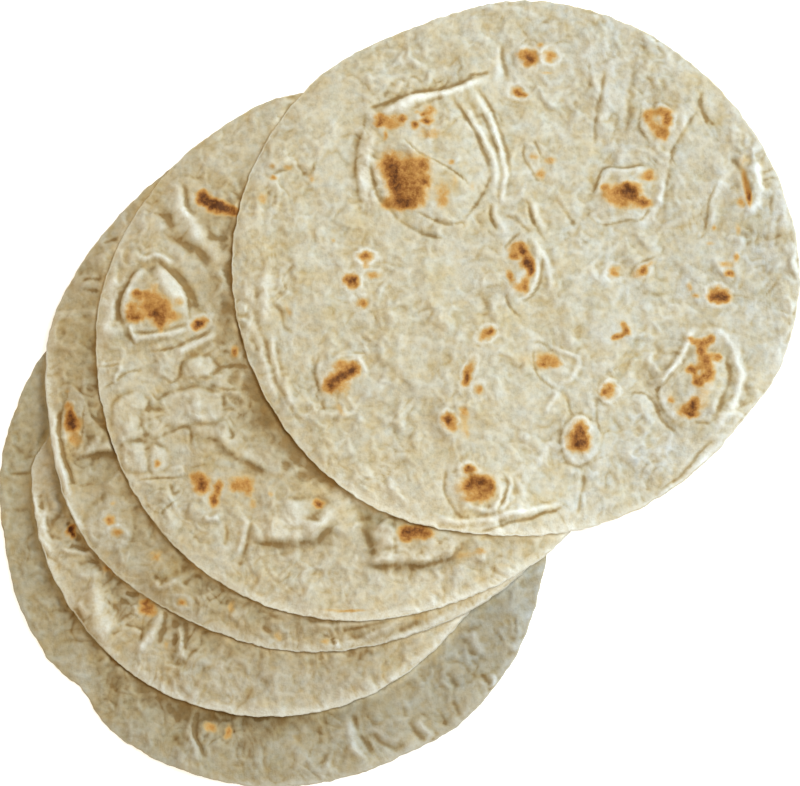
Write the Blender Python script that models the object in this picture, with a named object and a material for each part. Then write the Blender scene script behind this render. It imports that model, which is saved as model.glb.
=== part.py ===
"""A stack of five thin soft flatbreads, fanned out one on another as they lie.

Units are metres and +Z is up. The origin is on the floor, under the middle of the bottom
bread. +X is the right of the stack and +Y its back, and each bread lies further back and
to the right than the one below it. A bread is a thin wavy disc with two faces divided
alike and a rounded rim. It hangs softly over the rims of the breads under it, down to the
floor where it reaches past them.
"""
from dataclasses import dataclass

import bpy
import numpy as np

MM = 0.001

# One bread
THICKNESS = 2.4 * MM
RIM_THICKNESS = 1.3 * MM      # soft breads are thinner at their rims
RIM_TAPER = 12.0 * MM         # width of the band in which they get thinner
RIM_ROUNDING = 0.8 * MM       # how far the middle of the rim stands out past the faces

# How the breads lie on each other
GAP = 0.45 * MM               # air left between a bread and what carries it
BEND = 26.0 * MM              # width over which a bread bends across a step below it
HUG = 12.0 * MM               # width of the band that is held up where a step would cut in

# The grid on which the heights are worked out, wide enough for the whole stack
CELL = 2.0 * MM
GRID_LOW = -160.0 * MM
GRID_HIGH = 270.0 * MM

# Uneven outline: waves of 3 to 8 to the turn, of this height in all
WOBBLE = 0.4 * MM
WOBBLE_COUNTS = range(3, 9)

# Gentle waves over the breads: lengths of the waves that are added up
WAVE_LENGTHS = (58.0 * MM, 74.0 * MM, 95.0 * MM, 128.0 * MM)


@dataclass
class Swell:
    """A stretch of rim that stands out past the oval, or falls short where out is below 0."""
    bearing: float
    half_angle: float
    out: float


@dataclass
class Lift:
    """A stretch of rim that curls up, over a band of the given reach."""
    bearing: float
    half_angle: float
    height: float
    reach: float


@dataclass
class Blister:
    """A puffed patch of the upper face, an oval around (x, y) from the bread's middle."""
    x: float
    y: float
    half_length: float
    half_width: float
    turn: float
    height: float


@dataclass
class Bread:
    """One bread. Its middle, its two half axes and the turn of the first one, in degrees."""
    name: str
    middle: tuple
    half_axes: tuple
    turn: float
    rings: int
    ring_grading: float
    wave_height: float
    seed: int
    colour: tuple
    swells: tuple
    lifts: tuple
    blisters: tuple


BREADS = (
    Bread(
        "bread_1_bottom", (0.0 * MM, 0.0 * MM), (128.5 * MM, 124.5 * MM), -45.0,
        13, 0.80, 0.0 * MM, 11, (0.39, 0.31, 0.16),
        swells=(
            Swell(144, 17, 1.3 * MM),
            Swell(187, 8, -2.0 * MM),
            Swell(216, 17, -1.0 * MM),
            Swell(223, 6, -4.0 * MM),
            Swell(240, 17, 1.5 * MM),
            Swell(264, 17, 1.1 * MM),
            Swell(288, 17, -1.1 * MM),
            Swell(300, 7, -1.4 * MM),
            Swell(312, 17, 2.1 * MM),
            Swell(331, 8, 1.1 * MM),
            Swell(336, 17, -0.7 * MM),
        ),
        lifts=(
            Lift(196, 16, 1.2 * MM, 16 * MM),
            Lift(251, 14, 1.4 * MM, 20 * MM),
            Lift(318, 22, 1.6 * MM, 24 * MM),
        ),
        blisters=(
            Blister(-38 * MM, -111 * MM, 17 * MM, 9 * MM, 75, 1.2 * MM),
            Blister(52 * MM, -96 * MM, 22 * MM, 8 * MM, -48, 1.3 * MM),
        ),
    ),
    Bread(
        "bread_2", (2.8 * MM, 31.9 * MM), (128.0 * MM, 115.5 * MM), 75.0,
        13, 0.80, 0.6 * MM, 12, (0.46, 0.38, 0.21),
        swells=(
            Swell(163, 10, -9.0 * MM),
            Swell(176, 7, -9.0 * MM),
            Swell(192, 9, -1.4 * MM),
            Swell(216, 17, -0.4 * MM),
            Swell(264, 17, -0.5 * MM),
            Swell(288, 17, 0.5 * MM),
            Swell(312, 17, -0.8 * MM),
        ),
        lifts=(
            Lift(198, 20, 2.0 * MM, 14 * MM),
            Lift(228, 14, 0.8 * MM, 14 * MM),
            Lift(267, 10, 1.6 * MM, 16 * MM),
        ),
        blisters=(
            Blister(-88 * MM, -77 * MM, 17 * MM, 9 * MM, 80, 1.6 * MM),
            Blister(-42 * MM, -100 * MM, 15 * MM, 8 * MM, 80, 1.2 * MM),
        ),
    ),
    Bread(
        "bread_3", (23.6 * MM, 57.3 * MM), (130.0 * MM, 121.0 * MM), 7.0,
        13, 0.80, 0.7 * MM, 13, (0.43, 0.35, 0.19),
        swells=(
            Swell(120, 17, 3.6 * MM),
            Swell(144, 17, -0.4 * MM),
            Swell(166, 8, 1.2 * MM),
            Swell(188, 12, -2.2 * MM),
            Swell(216, 17, 3.1 * MM),
            Swell(264, 17, 1.8 * MM),
            Swell(306, 20, 0.4 * MM),
        ),
        lifts=(
            Lift(191, 20, 2.2 * MM, 13 * MM),
            Lift(209, 8, 1.0 * MM, 12 * MM),
            Lift(236, 20, 0.8 * MM, 15 * MM),
            Lift(280, 24, 0.4 * MM, 18 * MM),
        ),
        blisters=(
            Blister(-106 * MM, -14 * MM, 19 * MM, 13 * MM, 95, 2.0 * MM),
            Blister(-70 * MM, -96 * MM, 20 * MM, 8 * MM, -38, 1.2 * MM),
            Blister(20 * MM, -109 * MM, 30 * MM, 7 * MM, 3, 1.2 * MM),
        ),
    ),
    Bread(
        "bread_4", (42.5 * MM, 74.2 * MM), (126.0 * MM, 124.5 * MM), 31.0,
        13, 0.84, 0.8 * MM, 14, (0.54, 0.46, 0.28),
        swells=(
            Swell(110, 8, 2.0 * MM),
            Swell(120, 17, 0.9 * MM),
            Swell(168, 17, 0.4 * MM),
            Swell(188, 22, -2.0 * MM),
            Swell(240, 17, 1.7 * MM),
            Swell(264, 17, 1.2 * MM),
            Swell(288, 17, -0.7 * MM),
            Swell(312, 17, 0.5 * MM),
        ),
        lifts=(
            Lift(176, 24, 0.7 * MM, 16 * MM),
            Lift(222, 22, 0.8 * MM, 16 * MM),
            Lift(268, 20, 0.4 * MM, 18 * MM),
        ),
        blisters=(
            Blister(-98 * MM, 21 * MM, 21 * MM, 15 * MM, 60, 3.0 * MM),
            Blister(-77 * MM, 55 * MM, 22 * MM, 8 * MM, 62, 1.3 * MM),
            Blister(-29 * MM, -80 * MM, 30 * MM, 14 * MM, 8, 2.2 * MM),
            Blister(40 * MM, -86 * MM, 42 * MM, 13 * MM, 9, 2.0 * MM),
            Blister(-68 * MM, -46 * MM, 17 * MM, 13 * MM, 120, 1.2 * MM),
        ),
    ),
    Bread(
        "bread_5_top", (110.2 * MM, 112.4 * MM), (130.0 * MM, 124.0 * MM), 4.0,
        19, 0.96, 1.3 * MM, 15, (0.62, 0.55, 0.37),
        swells=(
            Swell(44, 17, -0.5 * MM),
            Swell(55, 40, 1.0 * MM),
            Swell(66, 17, 1.5 * MM),
            Swell(88, 17, 3.4 * MM),
            Swell(110, 17, -1.6 * MM),
            Swell(132, 17, 1.8 * MM),
            Swell(198, 17, -0.7 * MM),
            Swell(220, 17, 0.9 * MM),
            Swell(242, 17, 3.0 * MM),
            Swell(264, 17, 0.6 * MM),
            Swell(308, 17, -0.5 * MM),
            Swell(330, 17, -1.8 * MM),
            Swell(338, 6, 1.8 * MM),
            Swell(352, 17, 2.1 * MM),
        ),
        lifts=(
            Lift(186, 30, 0.9 * MM, 26 * MM),
            Lift(222, 20, 1.0 * MM, 20 * MM),
            Lift(258, 14, 0.6 * MM, 16 * MM),
            Lift(118, 26, 0.5 * MM, 24 * MM),
            Lift(20, 26, 1.4 * MM, 20 * MM),
        ),
        blisters=(
            Blister(-40 * MM, 51 * MM, 37 * MM, 32 * MM, 92, 4.6 * MM),
            Blister(84 * MM, -52 * MM, 25 * MM, 21 * MM, 110, 3.8 * MM),
            Blister(51 * MM, 37 * MM, 16 * MM, 13 * MM, -35, 1.8 * MM),
            Blister(66 * MM, 69 * MM, 11 * MM, 11 * MM, 0, 1.4 * MM),
            Blister(106 * MM, 39 * MM, 14 * MM, 9 * MM, 80, 1.5 * MM),
            Blister(5 * MM, 1 * MM, 15 * MM, 10 * MM, 85, 1.5 * MM),
            Blister(-79 * MM, -51 * MM, 14 * MM, 11 * MM, -40, 1.6 * MM),
            Blister(-17 * MM, -100 * MM, 16 * MM, 14 * MM, 20, 2.0 * MM),
            Blister(29 * MM, -78 * MM, 12 * MM, 11 * MM, 90, 1.5 * MM),
            Blister(-31 * MM, -70 * MM, 10 * MM, 10 * MM, 0, 1.4 * MM),
        ),
    ),
)


def clear_scene():
    for thing in list(bpy.data.objects):
        bpy.data.objects.remove(thing, do_unlink=True)


def smooth_step(low, high, value):
    """0 below low, 1 above high, and a smooth rise between."""
    share = np.clip((value - low) / (high - low), 0.0, 1.0)
    return share * share * (3.0 - 2.0 * share)


def angle_off(bearing, degrees):
    """How far bearing (an array, in radians) is from a bearing in degrees, in degrees."""
    return np.abs((np.degrees(bearing) - degrees + 180.0) % 360.0 - 180.0)


def rim_radius(bread, bearing):
    """Distance from the bread's middle to its rim: an uneven oval."""
    half_long, half_short = bread.half_axes
    along = bearing - np.radians(bread.turn)
    oval = half_long * half_short / np.hypot(half_short * np.cos(along), half_long * np.sin(along))
    random = np.random.default_rng(bread.seed)
    for count in WOBBLE_COUNTS:
        share = WOBBLE / len(WOBBLE_COUNTS) * random.uniform(0.5, 1.5)
        oval = oval + share * np.cos(count * bearing + random.uniform(0.0, 2.0 * np.pi))
    for swell in bread.swells:
        beside = np.exp(-(angle_off(bearing, swell.bearing) / swell.half_angle) ** 2)
        oval = oval + swell.out * beside
    return oval


def polar(bread, x, y):
    """Bearing of world points around the bread's middle, and how far inside the rim they are."""
    east = x - bread.middle[0]
    north = y - bread.middle[1]
    bearing = np.arctan2(north, east)
    return bearing, rim_radius(bread, bearing) - np.hypot(east, north)


def waves(bread, x, y):
    """Gentle waves of the whole bread, never below nought, stronger towards the rim."""
    random = np.random.default_rng(bread.seed + 100)
    total = np.zeros_like(x)
    for length in WAVE_LENGTHS:
        heading = random.uniform(0.0, 2.0 * np.pi)
        phase = random.uniform(0.0, 2.0 * np.pi)
        run = x * np.cos(heading) + y * np.sin(heading)
        total += 0.5 + 0.5 * np.cos(2.0 * np.pi * run / length + phase)
    inward = polar(bread, x, y)[1] / bread.half_axes[0]
    strength = 0.35 + 0.65 * smooth_step(0.9, 0.2, inward)
    return bread.wave_height * strength * total / len(WAVE_LENGTHS)


def rim_lift(bread, x, y):
    """How much the curled stretches of rim raise the bread."""
    bearing, inward = polar(bread, x, y)
    total = np.zeros_like(x)
    for lift in bread.lifts:
        beside = np.exp(-(angle_off(bearing, lift.bearing) / lift.half_angle) ** 2)
        total += lift.height * beside * smooth_step(lift.reach, -0.4 * lift.reach, inward)
    return total


def blister_height(blister, east, north):
    """A smooth mound: flat on top, steeper at its sides."""
    turn = np.radians(blister.turn)
    along = (east - blister.x) * np.cos(turn) + (north - blister.y) * np.sin(turn)
    across = (north - blister.y) * np.cos(turn) - (east - blister.x) * np.sin(turn)
    away = np.hypot(along / blister.half_length, across / blister.half_width)
    return blister.height * smooth_step(1.15, 0.35, away)


def thickness(bread, x, y):
    """Thickness of the bread: thinner at its rim, thicker where a blister has puffed it."""
    inward = polar(bread, x, y)[1]
    total = RIM_THICKNESS + (THICKNESS - RIM_THICKNESS) * smooth_step(0.0, RIM_TAPER, inward)
    for blister in bread.blisters:
        total = total + blister_height(blister, x - bread.middle[0], y - bread.middle[1])
    return total


def disc_offsets(radius):
    """Grid steps to every cell within the radius, with a bell-shaped weight for each."""
    reach = int(radius / CELL)
    steps = []
    for row in range(-reach, reach + 1):
        for column in range(-reach, reach + 1):
            away = (row * row + column * column) * CELL * CELL / (radius * radius)
            if away < 1.0:
                steps.append((row, column, (1.0 - away) ** 2))
    return reach, steps


def shifted(padded, reach, row, column, shape):
    return padded[reach + row:reach + row + shape[0], reach + column:reach + column + shape[1]]


def soften(field, radius):
    """Weighted mean of the field over a disc."""
    reach, steps = disc_offsets(radius)
    padded = np.pad(field, reach, mode="edge")
    total = np.zeros_like(field)
    for row, column, weight in steps:
        total += weight * shifted(padded, reach, row, column, field.shape)
    return total / sum(step[2] for step in steps)


def spread(field, radius):
    """Highest value of the field over a disc."""
    reach, steps = disc_offsets(radius)
    padded = np.pad(field, reach, mode="edge")
    highest = field.copy()
    for row, column, _ in steps:
        np.maximum(highest, shifted(padded, reach, row, column, field.shape), out=highest)
    return highest


def drape(support):
    """Underside of a soft bread on the support. It is smooth, and nowhere below the support.

    The support is softened first. Where that cuts in, as it does along the top of a step,
    the bread is held up: the shortfall is spread as wide as it is then softened, so the
    sum never falls below the support.
    """
    softened = soften(support, BEND)
    shortfall = np.maximum(0.0, support - softened)
    return softened + soften(spread(shortfall, HUG), HUG)


def grid_axis():
    return np.arange(GRID_LOW, GRID_HIGH, CELL)


def lay_breads():
    """Heights of each bread's underside on the grid, from the bottom bread up."""
    axis = grid_axis()
    x, y = np.meshgrid(axis, axis)
    support = np.zeros_like(x)
    undersides = []
    for bread in BREADS:
        underside = drape(support) + waves(bread, x, y) + rim_lift(bread, x, y)
        undersides.append(underside)
        inward = polar(bread, x, y)[1]
        top = underside + thickness(bread, x, y) + GAP
        support = np.where(inward > 0.0, np.maximum(support, top), support)
    return undersides


def read_grid(field, x, y):
    """Field at any points, straight between the four cells around each."""
    column = (x - GRID_LOW) / CELL
    row = (y - GRID_LOW) / CELL
    left = np.floor(column).astype(int)
    front = np.floor(row).astype(int)
    right_share = column - left
    back_share = row - front
    near = field[front, left] * (1.0 - right_share) + field[front, left + 1] * right_share
    far = field[front + 1, left] * (1.0 - right_share) + field[front + 1, left + 1] * right_share
    return near * (1.0 - back_share) + far * back_share


def ring_points(bread, ring, rim_out):
    """World x and y of one ring, with six points for each step out from the middle."""
    if ring == 0:
        return np.array([bread.middle[0]]), np.array([bread.middle[1]])
    bearing = np.arange(6 * ring) * 2.0 * np.pi / (6 * ring)
    share = (ring / bread.rings) ** bread.ring_grading
    radius = share * (rim_radius(bread, bearing) - RIM_ROUNDING) + rim_out
    return bread.middle[0] + radius * np.cos(bearing), bread.middle[1] + radius * np.sin(bearing)


def face_points(bread):
    """World x and y of all points of one face, and the index of each ring's first point."""
    rings = [ring_points(bread, ring, 0.0) for ring in range(bread.rings + 1)]
    starts = [0] + [1 + 3 * ring * (ring - 1) for ring in range(1, bread.rings + 1)]
    return np.concatenate([ring[0] for ring in rings]), np.concatenate([ring[1] for ring in rings]), starts


def face_triangles(rings, starts):
    """Triangles of one face, wound to face up: each ring is joined to the one inside it."""
    triangles = []
    for ring in range(1, rings + 1):
        outer = 6 * ring
        inner = max(1, 6 * (ring - 1))
        for sector in range(6):
            for step in range(ring):
                here = starts[ring] + sector * ring + step
                after = starts[ring] + (sector * ring + step + 1) % outer
                inside = starts[ring - 1] + (sector * (ring - 1) + step) % inner
                triangles.append((inside, here, after))
                if step < ring - 1:
                    inside_after = starts[ring - 1] + (sector * (ring - 1) + step + 1) % inner
                    triangles.append((inside, after, inside_after))
    return triangles


def rim_triangles(top_start, middle_start, under_start, count):
    """Two bands round the rim: upper face to the rim's middle, and on to the underside."""
    triangles = []
    for step in range(count):
        after = (step + 1) % count
        for upper, lower in ((top_start, middle_start), (middle_start, under_start)):
            triangles.append((upper + step, lower + step, lower + after))
            triangles.append((upper + step, lower + after, upper + after))
    return triangles


def bread_material(bread):
    material = bpy.data.materials.new(bread.name + "_crumb")
    material.use_nodes = True
    shader = material.node_tree.nodes["Principled BSDF"]
    shader.inputs["Base Color"].default_value = (*bread.colour, 1.0)
    shader.inputs["Roughness"].default_value = 0.85
    shader.inputs["Metallic"].default_value = 0.0
    return material


def make_bread(bread, underside, parent):
    """The closed solid of one bread, with the same triangles on both faces."""
    x, y, starts = face_points(bread)
    under = read_grid(underside, x, y)
    top = under + thickness(bread, x, y)
    rim_x, rim_y = ring_points(bread, bread.rings, RIM_ROUNDING)
    rim_z = read_grid(underside, rim_x, rim_y) + 0.5 * RIM_THICKNESS

    points = np.concatenate([
        np.column_stack([x, y, top]),
        np.column_stack([x, y, under]),
        np.column_stack([rim_x, rim_y, rim_z]),
    ])
    place = np.array([bread.middle[0], bread.middle[1], 0.0])
    upper_face = face_triangles(bread.rings, starts)
    lower_face = [(a + len(x), c + len(x), b + len(x)) for a, b, c in upper_face]
    rim = rim_triangles(starts[-1], 2 * len(x), len(x) + starts[-1], 6 * bread.rings)

    mesh = bpy.data.meshes.new(bread.name)
    mesh.from_pydata((points - place).tolist(), [], upper_face + lower_face + rim)
    mesh.shade_smooth()
    mesh.materials.append(bread_material(bread))
    solid = bpy.data.objects.new(bread.name, mesh)
    solid.location = place
    solid.parent = parent
    bpy.context.scene.collection.objects.link(solid)
    return solid


def make_stack():
    clear_scene()
    stack = bpy.data.objects.new("stack", None)
    bpy.context.scene.collection.objects.link(stack)
    for bread, underside in zip(BREADS, lay_breads()):
        make_bread(bread, underside, stack)


make_stack()
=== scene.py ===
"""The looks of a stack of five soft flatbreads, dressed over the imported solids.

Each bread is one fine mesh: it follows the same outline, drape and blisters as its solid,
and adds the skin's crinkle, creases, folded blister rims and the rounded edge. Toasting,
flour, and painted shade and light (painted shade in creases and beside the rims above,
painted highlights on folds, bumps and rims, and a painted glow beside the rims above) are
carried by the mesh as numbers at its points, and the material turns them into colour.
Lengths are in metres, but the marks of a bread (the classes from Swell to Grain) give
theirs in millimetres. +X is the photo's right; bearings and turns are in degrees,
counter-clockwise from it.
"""
import math
from dataclasses import dataclass

import bpy
import numpy as np
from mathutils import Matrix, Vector


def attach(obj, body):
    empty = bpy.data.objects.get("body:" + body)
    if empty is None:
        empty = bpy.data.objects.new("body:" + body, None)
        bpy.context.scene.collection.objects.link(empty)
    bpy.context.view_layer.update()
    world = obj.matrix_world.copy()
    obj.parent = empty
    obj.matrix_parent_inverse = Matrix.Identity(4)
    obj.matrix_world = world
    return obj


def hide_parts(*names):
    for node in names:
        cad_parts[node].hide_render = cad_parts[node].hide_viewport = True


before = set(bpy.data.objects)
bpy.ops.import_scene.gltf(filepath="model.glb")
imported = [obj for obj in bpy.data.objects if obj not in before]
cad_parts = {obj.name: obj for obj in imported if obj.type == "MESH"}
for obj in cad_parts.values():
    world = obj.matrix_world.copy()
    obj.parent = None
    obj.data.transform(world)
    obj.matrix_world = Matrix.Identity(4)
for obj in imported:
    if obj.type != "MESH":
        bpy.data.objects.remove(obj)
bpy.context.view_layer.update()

MM = 0.001

# One bread, as in the solids
THICKNESS = 2.4 * MM
RIM_THICKNESS = 1.3 * MM
RIM_TAPER = 12.0 * MM
WOBBLE = 0.4 * MM
WOBBLE_COUNTS = range(3, 9)
WAVE_LENGTHS = (58.0 * MM, 74.0 * MM, 95.0 * MM, 128.0 * MM)
MIDDLE_WAVES = 0.35            # share of the waves that is left in a bread's middle
WAVE_BAND = (0.9, 0.2)         # where they grow, from the middle out, in half axes from the rim
CURL_PAST = -0.4               # a curled rim rises on past the edge, by this share of its reach
BLISTER_SIDE = (1.15, 0.35)    # from a blister's foot to its flat top, in half widths

# How the breads lie on each other, as in the solids
GAP = 0.45 * MM
BEND = 26.0 * MM
HUG = 12.0 * MM
CELL = 2.0 * MM
GRID_LOW = -160.0 * MM
GRID_HIGH = 270.0 * MM

# The fine meshes
FACE_INSET = 0.8 * MM          # the upper face ends this far inside the rim
UNDER_RINGS = 40
UNDER_GRADING = 0.9
SHOWN_SIDE = 235.0             # bearing of the side on which the lower breads show
CURVE_STEPS = 5                # points along each stretch of a drawn line
# The rounded rim, from the face down: outwards past the face's end, and share of the height
RIM_ROWS = ((0.35 * MM, 0.93), (0.65 * MM, 0.78), (0.8 * MM, 0.5), (0.65 * MM, 0.22), (0.3 * MM, 0.05))
ROUNDING = 0.35 * MM           # how much the upper face falls towards the edge
ROUNDED_BAND = (3.0 * MM, 0.0)
PRESSED_THIN = 0.75 * MM       # how much thinner a pressed rim is
PRESSED_DROP = 0.5 * MM        # and how much lower
PRESSED_BAND = (9.0 * MM, -1.0 * MM)
RAGGEDNESS = ((9.0 * MM, 0.40 * MM), (4.5 * MM, 0.30 * MM), (2.2 * MM, 0.13 * MM))

# Noise: random directions each way, shift of its cells, and what brings it to about 1
LATTICE = 64
NOISE_SHIFT = (0.37, 0.61)
NOISE_GAIN = 1.6

# The skin's random relief, from broad to fine: width of the bumps, and height
BROAD, BROAD_HEIGHT = 17.0 * MM, 1.3 * MM
COARSE, COARSE_HEIGHT = 8.5 * MM, 0.95 * MM
MIDDLING, MIDDLING_HEIGHT = 4.4 * MM, 0.50 * MM
FINE, FINE_HEIGHT = 2.3 * MM, 0.14 * MM
DENTS, DENT_HEIGHT = 9.0 * MM, 0.30 * MM
DENT_PATCHES, DENT_LEVELS = 19.0 * MM, (0.0, 0.5)
PATCHES, PATCH_MEAN, PATCH_SWING = 24.0 * MM, 0.9, 0.8
# Wrinkles and lumps, in their own size: how far they are pulled about, and how widely
WRINKLE_PULL, WRINKLE_PULL_SIZE = 0.45, 1.3
WRINKLE_NARROWING, WRINKLE_POWER = 2.6, 1.5
LUMP_PULL, LUMP_PULL_SIZE = 0.5, 1.7
VALLEY_DEPTH, VALLEY_WIDTH, LUMP_RISE = 0.35, 0.3, 0.12
# Painted shade in the random hollows, and painted highlights on the bumps
COARSE_SHADE, COARSE_HIGHLIGHT = 0.18, 0.15
MIDDLING_SHADE, MIDDLING_HIGHLIGHT = 0.12, 0.12
DENT_SHADE = 0.30
GRAIN_SHADE, GRAIN_SHADE_HEIGHT = 0.25, 3.0
# Grains, in their own size: sway of their wrinkles, finer folds, and grooves between them
GRAIN_CIRCLE = 0.85            # the circle on which radial ones are counted, in half axes
GRAIN_SWAY, GRAIN_SWAY_SIZE = 1.2, 3.2
GRAIN_FOLD, GRAIN_FOLD_SIZE = 0.5, 0.5
GRAIN_GROOVE, GRAIN_GROOVE_SIZE = 0.5, 1.4
GROOVED_SIZE = 4.5             # larger grains have softer grooves
GRAIN_EDGE = 8.0 * MM          # how far from its limits a grain's part fades
GRAIN_START = 1.0 * MM         # but only so far inside the nearest one
GRAIN_ANGLES = (12.0, -6.0)    # the same at its ends, in degrees past its half angle
GRAIN_PATCHES, GRAIN_MEAN, GRAIN_SWING = 15.0 * MM, 0.7, 0.9
# Drawn creases sway a little: size and reach of the sway
SWAYS = ((9.0 * MM, 0.8 * MM), (2.2 * MM, 0.15 * MM))
MOST_SUNK = 0.6                # the deepest hollow, as a share of the thickness

# How a drawn crease is formed: what its drawn width and height are multiplied by, and its
# section. Places across it are in its width, left of it above 0, and a hump there is a
# middle and a half width
CREASE_WIDTHS = {"groove": 1.2, "ridge": 1.4, "step": 1.2, "pad": 1.4}
CREASE_HEIGHT = 1.5
CREASE_REACH, FADE_REACH = 4.0, 2.5
CREASE_ENDS = 0.22             # share of the line over which it fades at each end
CREASE_PATCHES, CREASE_MEAN, CREASE_SWING = 10.0 * MM, 0.95, 0.45
CREASE_LEVELS = (0.5, 1.4)     # least and most of its unevenness
CREASE_SEED = 91
# A crease's shade is painted shade, in a groove and at the foot of a pad or a step; the pale of a ridge,
# a pad's top and a step's lip is a painted highlight
GROOVE_DEPTH, GROOVE_SHADE = 0.75, 0.20
RIDGE_HIGHLIGHT = 0.7
PAD_SIDE, PAD_SIDE_RISE = (-0.8, 1.4), 0.55
PAD_CROWN, PAD_CROWN_RISE = (1.0, 6.0), 0.45
PAD_FOOT, PAD_FOOT_DEPTH, PAD_SHADE = (-0.7, 1.0), 0.15, 0.16
PAD_TOP, PAD_HIGHLIGHT = (-0.2, 1.0), 0.30
STEP_RISE, STEP_STEEPNESS = 0.85, 2.0
STEP_FOOT, STEP_SHADE = (-0.6, 1.2), 0.35
STEP_LIP, STEP_HIGHLIGHT = (1.3, 1.2), 0.5

# How a toasted spot is formed: spans are in its half widths, and lengths without MM are in
# millimetres
RAGGED_SHARE, RAGGED_MOST, RAGGED_SIZE, RAGGED_SEED = 0.35, 0.9, 2.6 * MM, 71
SPOT_REACH, SPOT_MARGIN = 1.6, 4.0 * MM
SPOT_OUTSKIRTS, OUTSKIRTS_SHARE = (2.0, 0.8), 0.30
SPOT_CORE, CORE_SHARE = (1.3, 0.1), 0.72
SPOT_STRENGTH = 0.92
SPOT_RIM, SPOT_RIM_WIDTH = 1.8, 1.2
SPOT_FLOUR, PUFF_FLOUR = 0.25, 1.4
PUFF_MIDDLE, PUFF_BAND = 0.3, (2.0, -1.0)

# The numbers that the mesh carries for the material: toasting, flour with painted highlights, painted
# shade, painted light and lighter tone, cooler or warmer tone and light colour, and the underside
NUMBERS = ("brown", "flour_and_highlight", "shade", "light", "cool", "under")
FLOURED_BAND = (5.5 * MM, 0.5 * MM)    # where a pale rim gets flour and painted highlight
# and the wider band of its painted highlight, and how strong it is
RIM_HIGHLIGHT_BAND, RIM_HIGHLIGHT = (14.0 * MM, 1.0 * MM), 0.14
PAINTED_SHADOW_REACH = 9.5 * MM       # how far the painted shadow reaches from the rim above
PAINTED_SHADOW_PATCHES, PAINTED_SHADOW_MEAN, PAINTED_SHADOW_SWING = 6.0 * MM, 0.85, 0.5
PAINTED_GLOW_REACH = 2.0 * MM          # how far the painted glow reaches beside such a rim, standing in for light seeping through the dough
# how much lighter and warmer the painted glow makes the dough
PAINTED_GLOW_LIGHT, PAINTED_GLOW_WARMTH = 0.34, 0.10
RIM_PAINTED_LIGHT = 0.04               # painted light on the edge's rounded wall, all round the rim
RELIEF_COVER = (2.0 * MM, -3.0 * MM)   # depths inside the rims above where the relief ends
MARKS_COVER = (4.0 * MM, 1.0 * MM)     # and where the numbers end
EDGE_RELIEF, EDGE_BAND = 0.5, (0.0, 3.0 * MM)      # the share left at the bread's own rim
# Painted shade in the hollows and painted highlights on the humps, by how the surface curves: rounds of
# spreading, depth, share in shade, share in light
CURVATURE_SHADING = (
    (4, 0.07 * MM, 0.16, 0.035),
    (30, 0.30 * MM, 0.18, 0.055),
)
SHADED_DIPS = 0.45               # how much painted shade the random dips get, beside drawn ones
LIT_HUMPS = 0.25              # how much painted highlight the random humps get
CURVATURE_MOST = 2.0
LIT_COOLNESS = 2.0            # how much cooler than lighter the painted highlights on the humps are

# Light and camera. A light's direction from the stack, distance, size, power and colour
AIM = (0.05796, 0.05643, 0.0)
VIEW_WIDTH = 0.368             # width of the picture at the stack
LENS = 900.0
SENSOR = 36.0
ELEVATION = 80.0
FURTHEST_SEEN = 20.0
KEY = ((0.62, 0.26, 0.70), 2.2, 2.4, 58.5, (0.76, 0.91, 1.02))
FILL = ((-0.72, -0.10, 0.70), 1.6, 1.6, 4.0, (1.0, 0.83, 0.58))
WORLD_COLOUR = (1.0, 0.78, 0.50)
WORLD_STRENGTH = 0.44
FLOOR_SIZE = 4.0
FLOOR_DROP = 0.5 * MM          # the floor lies this far under the stack
FLOOR_COLOUR = (0.93, 0.93, 0.93)
FLOOR_ROUGHNESS = 0.9
FLOOR_GLOW = 0.6

# Where a Mix node keeps its factor and its colours, in and out
MIX_INPUTS = (0, 6, 7)
MIX_OUTPUT = 2

# Colours, linear. A ramp's stops are a position and a colour or a grey. A noise is its bumps
# to the metre, detail, roughness and distortion
WHITE = (1.0, 1.0, 1.0)
ROUGHNESS = 0.82
GLOSS = 0.25
MOTTLE_NOISE = (400.0, 3.0, 0.65, 0.1)
MOTTLE = ((0.30, 0.84), (0.50, 1.0), (0.70, 1.08))
WARMTH_NOISE = (62.0, 3.0, 0.75, 0.1)
WARMTH = ((0.30, (0.95, 0.88, 0.72)), (0.50, WHITE), (0.68, (1.02, 1.05, 1.13)))
HUE_NOISE = (170.0, 2.0, 0.6)
HUES = ((0.33, (1.025, 0.985, 0.91)), (0.50, WHITE), (0.67, (0.97, 1.01, 1.06)))
GRIT_NOISE = (900.0, 3.0, 0.7)
GRIT = ((0.3, 0.45), (0.6, 1.0))
# the colour of flour, also used for painted highlights
FLOUR_AND_HIGHLIGHT_COLOUR = (0.80, 0.79, 0.70)
# SHADE is the colour of painted shade; COOLNESS turns the colour cooler or warmer, for the dough's own
# tone and for painted light
SHADE = ((0.0, WHITE), (0.5, (0.83, 0.75, 0.60)), (1.0, (0.51, 0.37, 0.20)))
COOLNESS = ((0.0, (1.04, 0.98, 0.78)), (0.5, WHITE), (1.0, (0.94, 1.02, 1.22)))
CRUST_NOISE = (520.0, 4.0, 0.75, 0.2)
CRUST_GRAIN = ((0.3, 0.0), (0.7, 1.0))
CRUST_SWING, CRUST_LEAST = 0.7, 0.65
UNDER_NOISE = (60.0, 2.0)
UNDER_SPOTS = ((0.56, 0.0), (0.70, 0.8))
TOASTING = (
    (0.0, (0.66, 0.55, 0.34)),
    (0.18, (0.66, 0.44, 0.17)),
    (0.40, (0.55, 0.28, 0.075)),
    (0.64, (0.32, 0.125, 0.027)),
    (0.92, (0.12, 0.042, 0.012)),
)
TOAST_COVER = ((0.02, 0.0), (0.14, 0.55), (0.30, 1.0))
BUMP_NOISE = (1100.0, 3.0, 0.6)
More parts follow.
